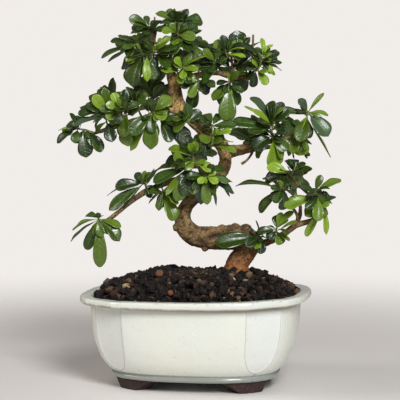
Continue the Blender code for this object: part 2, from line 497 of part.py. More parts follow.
def make_pellets(ground):
    """The largest grains, each lying on the soil."""
    for index, (name, x, y, radius) in enumerate(PELLETS):
        grain = random.Random(20 + index)
        bm = bmesh.new()
        bmesh.ops.create_icosphere(bm, subdivisions=1, radius=radius)
        for vert in bm.verts:
            vert.co *= grain.uniform(0.86, 1.06)
            vert.co.z *= 0.8
        bmesh.ops.translate(bm, vec=(x, y, 2 * RIM_HEIGHT), verts=bm.verts)
        drops = [ground.ray_cast(vert.co, (0, 0, -1))[3] for vert in bm.verts]
        bmesh.ops.translate(bm, vec=(0, 0, 2 * GAP - min(drops)), verts=bm.verts)
        piece(name, bm, "clay_pellet" if name.startswith("clay") else "pumice")


# --- wood --------------------------------------------------------------------------------------
def place(u, v, front):
    """The point, in the pot's frame, that the elevation shows at (u, v)."""
    c, s = math.cos(EYE_TILT), math.sin(EYE_TILT)
    up = (v - EYE_AIM_V) * ELEVATION_SQUASH
    back = -front
    height = (up * (1 + back * c / EYE_DISTANCE) - back * s) / (c + up * s / EYE_DISTANCE)
    scale = 1 + (back * c - height * s) / EYE_DISTANCE
    x = EYE_AIM_U + (u - EYE_AIM_U) * scale
    point = Vector((x, back, EYE_AIM_V + height))
    point.rotate(Matrix.Rotation(TREE_TURN, 3, "Z"))
    return point


def tube(points, radii, sides):
    """Rings round a bent line, each carried on from the last without twisting."""
    rings = []
    across = None
    for index, (point, radius) in enumerate(zip(points, radii)):
        before = points[max(index - 1, 0)]
        after = points[min(index + 1, len(points) - 1)]
        along = (after - before).normalized()
        if across is None:
            across = along.orthogonal()
        across = (across - along * across.dot(along)).normalized()
        other = along.cross(across)
        rings.append([point + radius * (across * math.cos(a) + other * math.sin(a))
                      for a in (math.tau * side / sides for side in range(sides))])
    return rings


def wood_lines():
    """Every woody line as points and radii, trunk first."""
    lines = {"trunk": TRUNK, **BRANCHES}
    return {name: [(place(u, v, f), r) for u, v, f, r in line] for name, line in lines.items()}


def make_tree(lines):
    tree = None
    for name, line in lines.items():
        sides = TRUNK_SIDES if name == "trunk" else BRANCH_SIDES
        rings = tube([p for p, _ in line], [r for _, r in line], sides)
        if tree is None:
            tree = piece("trunk_and_branches", loft(rings), "bark", smooth=50)
        else:
            boolean(tree, guide("wood_" + name, loft(rings)), "UNION")


# --- shoots ------------------------------------------------------------------------------------
def nearest_wood(point, lines):
    """Closest place on the wood's middle line, with the wood's radius there."""
    best = None
    for line in lines.values():
        for (a, ra), (b, rb) in zip(line, line[1:]):
            share = max(0.0, min(1.0, (point - a).dot(b - a) / (b - a).length_squared))
            foot = a.lerp(b, share)
            radius = ra + (rb - ra) * share
            distance = (point - foot).length - radius
            if best is None or distance < best[0]:
                best = (distance, foot, radius)
    return best[1], best[2]


def stem_line(points, lines):
    """The stem's middle line, from just off the wood to its tip."""
    given = [place(*p) for p in points]
    foot, radius = nearest_wood(given[0], lines)
    out = (given[0] - foot).normalized()
    start = foot + out * (radius + 2 * GAP)
    lift = min(STEM_LIFT, (given[0] - start).length / 2)
    return [start, start + out * lift] + given


def along_line(line, share):
    """Point and direction at a share of a line's length."""
    lengths = [(b - a).length for a, b in zip(line, line[1:])]
    left = share * sum(lengths)
    for (a, b), length in zip(zip(line, line[1:]), lengths):
        if left <= length:
            break
        left -= length
    else:
        left = length         # the line's very end, where rounding can leave a little over
    way = (b - a).normalized()
    return a + way * left, way


def spiral_leaves(index, line, count, lengths):
    """Leaves that climb the stem at the golden angle."""
    leaves = []
    for number in range(count):
        pick = random.Random(1000 * index + number)
        share = 0.35 + 0.65 * number / max(count - 1, 1)
        base, way = along_line(line, share)
        aside = way.orthogonal().normalized()
        aside.rotate(Matrix.Rotation(GOLDEN_ANGLE * number + index, 3, way))
        opening = math.radians(pick.uniform(38, 82))
        length = pick.uniform(*lengths)
        heading = way * math.cos(opening) + aside * math.sin(opening)
        leaves.append((share, base + heading * length, length * pick.uniform(0.36, 0.46)))
    return leaves


def leaf_rings(base, tip, width, grow=0.0):
    """The stalk's end and the blade's widest section, and the tip."""
    way = (tip - base).normalized()
    length = (tip - base).length
    facing = Vector((math.sin(TREE_TURN) * 0.7, -0.7, 0.72))
    top = (facing - way * facing.dot(way)).normalized()
    side = top.cross(way)
    rings = []
    for share, half, fold in ((PETIOLE_SHARE, PETIOLE_RADIUS, 0.0),
                              (WIDEST_SHARE, width / 2, width * LEAF_FOLD)):
        middle = base + way * (length * share) - top * fold
        thick = LEAF_THICKNESS / 2 + grow
        edge = side * (half + grow)
        rings.append([middle + edge + top * fold, middle + top * thick,
                      middle - edge + top * fold, middle - top * thick])
    return rings, tip + way * grow


def prism_guard(rings, end=None):
    """The space inside a run of four-cornered rings, drawn to a point if an end is given."""
    points = [point for ring in rings for point in ring]
    faces = [(0, 3, 2, 1)]
    for low in range(0, 4 * (len(rings) - 1), 4):
        for a in range(4):
            b = (a + 1) % 4
            faces.append((low + a, low + b, low + 4 + b, low + 4 + a))
    last = 4 * (len(rings) - 1)
    if end is None:
        faces.append((last, last + 1, last + 2, last + 3))
    else:
        points.append(end)
        faces += [(last + a, last + (a + 1) % 4, len(points) - 1) for a in range(4)]
    return BVHTree.FromPolygons(points, faces), points


def blade_guard(base, tip, width):
    """The blade's own space, a little larger than the blade."""
    rings, end = leaf_rings(base, tip, width, CLEARANCE)
    return prism_guard(rings, end)


def stalk_guard(base, tip, width):
    """The stalk's own space, from just off its stem to the blade."""
    stalk = leaf_rings(base, tip, width)[0][0]
    middle = sum(stalk, Vector()) / len(stalk)
    start = base.lerp(middle, STALK_START)
    return prism_guard([[start + (point - middle) for point in stalk], stalk])


class Thicket:
    """What already stands in the tree, to keep new leaves clear of it."""

    def __init__(self):
        self.taken = []

    def add(self, guard, owner=None):
        tree, points = guard
        low = Vector([min(p[k] for p in points) for k in range(3)])
        high = Vector([max(p[k] for p in points) for k in range(3)])
        self.taken.append((tree, low, high, owner))

    def free(self, guard, owner=None):
        """True if the guard meets nothing but what its owner is."""
        tree, points = guard
        low = Vector([min(p[k] for p in points) for k in range(3)])
        high = Vector([max(p[k] for p in points) for k in range(3)])
        for other, other_low, other_high, other_owner in self.taken:
            if owner is not None and owner == other_owner:
                continue
            if all(low[k] < other_high[k] and other_low[k] < high[k] for k in range(3)):
                if tree.overlap(other):
                    return False
        return True


def tube_guard(points, radii, sides):
    """A bent line's own space."""
    bm = loft(tube(points, radii, sides))
    tree = BVHTree.FromBMesh(bm)
    corners = [v.co.copy() for v in bm.verts]
    bm.free()
    return tree, corners


def stem_rings(line, count):
    """Rings along a stem, thinner towards its tip."""
    shares = [step / count for step in range(count + 1)]
    points = [along_line(line, share)[0] for share in shares]
    radii = [STEM_RADIUS * (1 - 0.35 * share) for share in shares]
    return tube(points, radii, STEM_SIDES)


def grow_leaf(bm, face, base, tip, width):
    """Draw a leaf out of one face of its stem."""
    rings, end = leaf_rings(base, tip, width)
    for ring in rings:
        face = bmesh.ops.extrude_discrete_faces(bm, faces=[face])["faces"][0]
        middle = sum(ring, Vector()) / 4
        centre = face.calc_center_median()
        corners = [v.co - centre for v in face.verts]
        turns = [ring[k:] + ring[:k] for k in range(4)]
        best = max(turns, key=lambda turn: sum((p - middle).normalized().dot(c.normalized())
                                               for p, c in zip(turn, corners)))
        for vert, point in zip(face.verts, best):
            vert.co = point
    poked = bmesh.ops.poke(bm, faces=[face])
    poked["verts"][0].co = end


def crosses_itself(bm):
    """True if two triangles of a mesh cut each other without sharing a corner."""
    bm.verts.index_update()
    bm.faces.index_update()
    corners = [{vert.index for vert in face.verts} for face in bm.faces]
    tree = BVHTree.FromBMesh(bm)
    return any(a < b and not corners[a] & corners[b] for a, b in tree.overlap(tree))


class Stem:
    """A green stem, and the faces that no leaf has been drawn out of yet."""

    def __init__(self, line, leaf_count):
        self.line = line
        self.bare = loft(stem_rings(line, max(3, math.ceil(leaf_count * STEM_RINGS_PER_LEAF))))
        self.bare.normal_update()
        self.spare = {number: (face.calc_center_median(), face.normal.copy())
                      for number, face in enumerate(self.bare.faces[:-1])}
        self.leaves = []

    def faces_for(self, share, tip):
        """Spare faces that look towards the leaf's tip, the best placed first."""
        wish = along_line(self.line, share)[0]
        fit = []
        for number, (middle, normal) in self.spare.items():
            facing = normal.dot((tip - middle).normalized())
            if facing > LEAST_FACING:
                fit.append(((middle - wish).length - FACING_WORTH * facing, number, middle))
        return [(number, middle) for _, number, middle in sorted(fit, key=lambda row: row[0])]

    def grown(self, leaves):
        """The stem's mesh with these leaves drawn out of it."""
        bm = self.bare.copy()
        faces = bm.faces[:]
        for number, base, tip, width in leaves:
            grow_leaf(bm, faces[number], base, tip, width)
        bmesh.ops.triangulate(bm, faces=bm.faces[:])
        return bm

    def finished(self):
        """The mesh with every leaf that lets it stay free of itself."""
        kept = []
        for leaf in self.leaves:
            trial = self.grown(kept + [leaf])
            if not crosses_itself(trial):
                kept.append(leaf)
            trial.free()
        return self.grown(kept)


def make_shoots(lines):
    thicket = Thicket()
    for name, line in lines.items():
        sides = TRUNK_SIDES if name == "trunk" else BRANCH_SIDES
        thicket.add(tube_guard([p for p, _ in line], [r + CLEARANCE for _, r in line], sides))
    stems = {}
    for name, (points, placed, count) in SHOOTS.items():
        line = stem_line(points, lines)
        stems[name] = Stem(line, len(placed) + count)
        thicket.add(tube_guard(line[1:], [STEM_RADIUS + CLEARANCE] * (len(line) - 1), 4), name)

    def try_leaf(name, share, tips, width):
        """Give the stem a leaf at the first tip and face that keep it clear of everything."""
        stem = stems[name]
        for tip in tips:
            for number, base in stem.faces_for(share, tip)[:FACES_TRIED]:
                blade, stalk = blade_guard(base, tip, width), stalk_guard(base, tip, width)
                if thicket.free(blade) and thicket.free(stalk, name):
                    thicket.add(blade)
                    thicket.add(stalk)
                    del stem.spare[number]
                    stem.leaves.append((number, base, tip, width))
                    return

    for name, (_, leaves, _) in SHOOTS.items():
        for share, u, v, front, width in leaves:
            tips = [place(u + du, v + dv, front + df) for du, dv, df in NUDGES]
            try_leaf(name, share, tips, width)
    for index, (name, (_, placed, count)) in enumerate(SHOOTS.items()):
        lengths = FILLING_LENGTH if placed else SPIRAL_LENGTH
        line = stems[name].line
        for share, tip, width in spiral_leaves(index, line, count, lengths):
            base = along_line(line, share)[0]
            tips = [base + (tip - base) * short for short in (1, 0.86, 0.74)]
            try_leaf(name, share, tips, width)
    for name, stem in stems.items():
        piece(name, stem.finished(), "leaf")


def stand_on_origin():
    """Bring the middle of the model's footprint to the origin, with the feet on the ground."""
    bpy.context.view_layer.update()
    parts = [o for o in bpy.context.scene.objects if not o.hide_render]
    corners = [o.matrix_world @ v.co for o in parts for v in o.data.vertices]
    shift = Vector([-(min(c[k] for c in corners) + max(c[k] for c in corners)) / 2
                    for k in range(2)] + [FOOT_DROP * METRE])
    for made in bpy.context.scene.objects:
        made.location += shift


def main():
    for old in list(bpy.data.objects):
        bpy.data.objects.remove(old)
    make_pot()
    make_feet()
    make_drainage()
    make_pellets(make_soil())
    lines = wood_lines()
    make_tree(lines)
    make_shoots(lines)
    stand_on_origin()


main()
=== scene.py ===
"""The looks of a small-leaved bonsai in a glazed pot, built round its fixed frame.

The sizes are in millimetres, in the pot's own frame, until a piece is finished: finish_piece then
moves it to its place and turns it into metres. The tree is set out on a front elevation: (u, v) is
a point as an eye EYE_DISTANCE away sees it, and the third number is how far it stands in front.
"""
import json
import math
import random

import bmesh
import bpy
import numpy as np
from mathutils import Matrix, Vector, noise
from mathutils.bvhtree import BVHTree
from mathutils.kdtree import KDTree

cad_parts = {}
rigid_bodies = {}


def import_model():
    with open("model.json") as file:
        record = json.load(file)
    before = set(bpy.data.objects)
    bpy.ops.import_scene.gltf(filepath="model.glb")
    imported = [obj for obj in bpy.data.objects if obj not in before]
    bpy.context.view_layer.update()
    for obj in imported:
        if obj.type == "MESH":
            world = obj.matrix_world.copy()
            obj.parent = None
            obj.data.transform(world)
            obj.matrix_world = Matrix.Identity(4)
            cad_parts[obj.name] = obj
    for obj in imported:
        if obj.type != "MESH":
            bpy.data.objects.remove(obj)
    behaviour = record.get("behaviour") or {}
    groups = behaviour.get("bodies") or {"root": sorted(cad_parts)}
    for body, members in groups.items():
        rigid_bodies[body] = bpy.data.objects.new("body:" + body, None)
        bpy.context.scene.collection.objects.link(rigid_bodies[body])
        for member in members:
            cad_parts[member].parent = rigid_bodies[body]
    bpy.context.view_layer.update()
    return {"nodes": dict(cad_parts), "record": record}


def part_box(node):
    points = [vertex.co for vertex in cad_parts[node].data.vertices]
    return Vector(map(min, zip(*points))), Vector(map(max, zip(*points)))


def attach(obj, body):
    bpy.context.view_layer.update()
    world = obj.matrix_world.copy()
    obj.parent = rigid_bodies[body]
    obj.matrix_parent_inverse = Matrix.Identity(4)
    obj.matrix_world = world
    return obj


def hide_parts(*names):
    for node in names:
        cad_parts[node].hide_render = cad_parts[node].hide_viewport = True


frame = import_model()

bl_info = {
    "name": "Potted Bonsai",
    "version": (1, 0, 0),
    "blender": (4, 5, 0),
    "location": "3D View > Sidebar > Bonsai",
    "description": "Builds a small-leaved bonsai in a glazed pot on four clay feet",
    "category": "Add Mesh",
}

MM = 0.001
NOISE_SEED = 5                # without it the pot and its feet are a little different every time
noise.seed_set(NOISE_SEED)


def middle_of(node):
    """The middle of a node's plan, in millimetres."""
    low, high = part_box(node)
    return Vector(((low.x + high.x) / 2 / MM, (low.y + high.y) / 2 / MM, 0.0))


FOOT_DROP = 3.2               # how far the feet reach below the pot's own zero height
PLACE = middle_of("pot") + Vector((0.0, 0.0, FOOT_DROP))

# --- pot -----------------------------------------------------------------------------------------
SQUARENESS = 2.7              # superellipse exponent of the pot's plan
SLIMNESS = 22.0               # half width minus half depth
FOOT_HEIGHT = 6.5
RIM_HEIGHT = 80.0
RIM_LEAN = 0.02
FACET_TURN = math.radians(36)
FACET_DEPTH = 2.6
FACET_LOW, FACET_HIGH = 15.0, 56.0
FACET_ROUNDNESS = 3.5         # how round the foot of a facet is
DRAIN_X, DRAIN_RADIUS = 36.0, 8.0
# (height, half width) up the outside, over the rim and down the inside
POT_BEAD = [(6.8, 71.8), (7.3, 73.2), (8.2, 74.1), (9.3, 74.6), (10.4, 74.5), (11.3, 73.8),
            (12.0, 73.1)]
POT_WALL = [(12.0, 73.1), (14.5, 76.0), (18, 79.4), (23, 82.8), (29, 85.6), (37, 88.3), (47, 90.3),
            (60, 91.6), (72.0, 92.3)]
POT_LIP = [(72.6, 92.6), (73.1, 94.0), (73.4, 97.4), (73.8, 99.3), (74.6, 100.6), (75.8, 101.2),
           (77.4, 101.4), (78.8, 101.2), (79.6, 100.6), (80, 99.4), (80.0, 96.4), (80, 93.6),
           (79.7, 92.2), (78.8, 91.2)]
POT_INSIDE = [(78.8, 91.2), (74, 86.6), (60, 85.6), (40, 82.2), (24, 75.4), (16.5, 66.5),
              (13.5, 58.0)]
RIM_FACET_DEPTH = 2.2
INSIDE_FACET_DEPTH = 2.0
PANEL_EDGE = 0.5              # how far into a facet its recess reaches full depth

# --- feet: (height, half width of the plan they follow, angles from and to, inner share) ---------
FOOT_RINGS = [(-FOOT_DROP, 67.6, 28, 53, 0.785), (0.5 - FOOT_DROP, 68.7, 27, 54.5, 0.775),
              (1.4, 69.9, 25, 60, 0.75), (FOOT_HEIGHT - 1.5, 71, 23, 66, 0.72),
              (FOOT_HEIGHT, 71.5, 22, 68, 0.71)]
FOOT_STEP, FOOT_POINTS = 0.45, 29
FOOT_GRAIN, FOOT_ROUGHNESS = 3.2, 0.22
FOOT_FLAT = 0.1               # the sole and the top stay flat this far in

# --- the tree's elevation ------------------------------------------------------------------------
EYE_DISTANCE = 1600.0
EYE_TILT = math.radians(4.8)
EYE_AIM_U, EYE_AIM_V = 3.5, 161.3
ELEVATION_SQUASH = 0.9888
TREE_TURN = math.radians(10)

# --- wood: (u, v, in front, radius) --------------------------------------------------------------
TRUNK = [(35, 76, 0, 12), (35.5, 90, 0, 13), (35.8, 99.5, 0, 12), (37.5, 106, 0, 9.8),
         (43.5, 114, 0, 9.4), (46.5, 121.5, 1, 9.6), (41, 126.5, 2, 10.2), (30, 128, 2, 10.6),
         (18.9, 127.6, 2, 10.4), (8.7, 127.6, 1, 10), (-1.6, 130, 0, 9.2), (-9, 136, 0, 8.4),
         (-12, 144.5, 0, 7.4), (-10, 153, 0, 6.6), (-5.5, 160, 0, 6.2), (7.9, 170.5, -2, 6.2),
         (19, 181, -4, 6), (25, 192, -4, 5.8), (25.6, 202, -2, 5.6), (20.5, 213, 0, 6),
         (10, 220.5, 2, 5.4), (1, 228, 2, 5.2), (-7, 236, 1, 5.4), (-14, 243.5, 0, 5.8),
         (-17, 252, 0, 5.6), (-19, 262, 0, 5.6), (-21, 270, 0, 5), (-24, 279, 0, 3.4),
         (-27.4, 288, 0, 2.4)]
BRANCHES = {
    "log_end": [(38, 128, 2, 8.6), (46, 131, 2, 9.2), (50.5, 132.6, 2, 6.4)],
    "log_bump": [(30, 128, 2, 6), (35, 137, 3, 4.6), (36.5, 140, 3, 2.4)],
    "log_spur": [(10, 128, 2, 6), (8, 119, 3, 3.8), (7, 115.5, 3, 1.6)],
    "elbow_knot": [(-9, 137, 0, 5), (-17.5, 136.8, 1, 4), (-20.5, 136.5, 1, 2.4)],
    "branch_stump": [(21, 212, 0, 5), (18.5, 215.5, 6, 4.4), (18, 216.5, 8, 3)],
    "low_right": [(46, 124, 4, 4), (58, 122.5, 8, 3.6), (70, 127, 12, 3), (80, 132.5, 14, 2.8),
                  (88, 138.5, 14, 2.8), (103, 143.5, 12, 2.4), (115.5, 151, 10, 2.2)],
    "low_right_riser": [(88, 139, 14, 1.8), (89.5, 147, 15, 1.5), (84, 156, 18, 1.4),
                        (78, 163, 21, 1.2), (77, 172, 24, 1.0)],
    "low_right_twig": [(107, 146.5, 12, 1.7), (108.5, 157, 18, 1.4), (90, 175, 26, 1.1),
                       (73.5, 190.8, 29, 0.9)],
    "low_left": [(6, 169, -1, 3.6), (-6, 177.5, 3, 3.4), (-20, 178.5, 6, 3), (-43, 169.5, 10, 2.6),
                 (-57, 160.5, 12, 2.4), (-68, 151, 12, 2.2), (-79, 143, 10, 1.8),
                 (-85, 141.5, 10, 1.4)],
    "middle_left": [(-12, 240, 0, 4), (-27, 240, 6, 3), (-49, 233.5, 12, 2.6),
                    (-72.6, 226.5, 14, 2.3), (-89.5, 221, 12, 1.7)],
    "middle_left_rear": [(-12, 241, 0, 3.4), (-24, 244, -14, 2.6), (-44, 244, -32, 2.2),
                         (-62, 240, -46, 1.6)],
    "middle_right": [(23, 206, -2, 4), (43, 208.5, 4, 3), (65, 213.5, 8, 2.6), (86, 218, 8, 2.2),
                     (101, 226, 6, 1.5)],
    "middle_right_rear": [(23, 199, -3, 3.4), (36, 203, -20, 2.6), (54, 207, -38, 2.2),
                          (72, 210, -52, 1.6)],
    "hanging_twig": [(51, 209.6, 6, 1.6), (49, 202.5, 8, 1.2), (45, 197, 9, 1.1),
                     (40, 193.4, 9, 1.3)],
    "low_rear": [(14, 177, -3, 3.4), (11, 185, -24, 2.6), (4, 190, -44, 2.2),
                 (-4, 194, -60, 1.6)],
    "low_right_rear": [(86, 137, 14, 2), (91, 145, 2, 1.9), (92, 156, -14, 1.7),
                       (88, 165, -30, 1.3)],
    "front_low": [(8, 171, -2, 3.2), (7, 179, 12, 2.2), (4, 186, 22, 1.6), (2, 191, 28, 1.2)],
    "front_high": [(19, 213.5, 1, 2.8), (10, 211, 12, 1.8), (6, 213, 20, 1.3),
                   (5, 220, 24, 1.0), (-3, 228, 25, 0.9)],
    "crown_right": [(-19, 265, 0, 4), (-6, 270, 1, 3.2), (6, 273.5, 1, 2.7), (19, 275, 1, 2.4),
                    (34.4, 270.5, 2, 2.3), (49.4, 272, 2, 1.6)],
    "crown_rear": [(-19, 264, 0, 3), (-10, 269, -16, 2.2), (4, 274, -34, 1.6)],
    "crown_riser": [(31, 271.5, 2, 1.6), (32, 281, 6, 1.2), (31, 290, 8, 1.0)],
    "apex_left": [(-23, 276, 0, 2.4), (-31, 288, 3, 1.8), (-34, 300, 4, 1.5), (-42, 304, 6, 1.1)],
    "apex_right": [(-25.5, 283, 0, 2), (-20, 296, 0, 1.7), (-15, 309, 1, 1.3)],
    "apex_rear": [(-22, 273, -1, 2.4), (-26, 283, -16, 1.8), (-28, 292, -30, 1.2)],
    "dead_stub": [(-36.5, 301.5, 4, 1.2), (-37, 313, 5, 0.9), (-36.5, 325, 5, 0.8)],
    "crown_stub": [(47, 271.9, 2, 1.3), (49.5, 287, 6, 0.9), (50.5, 309, 8, 0.8)],
}

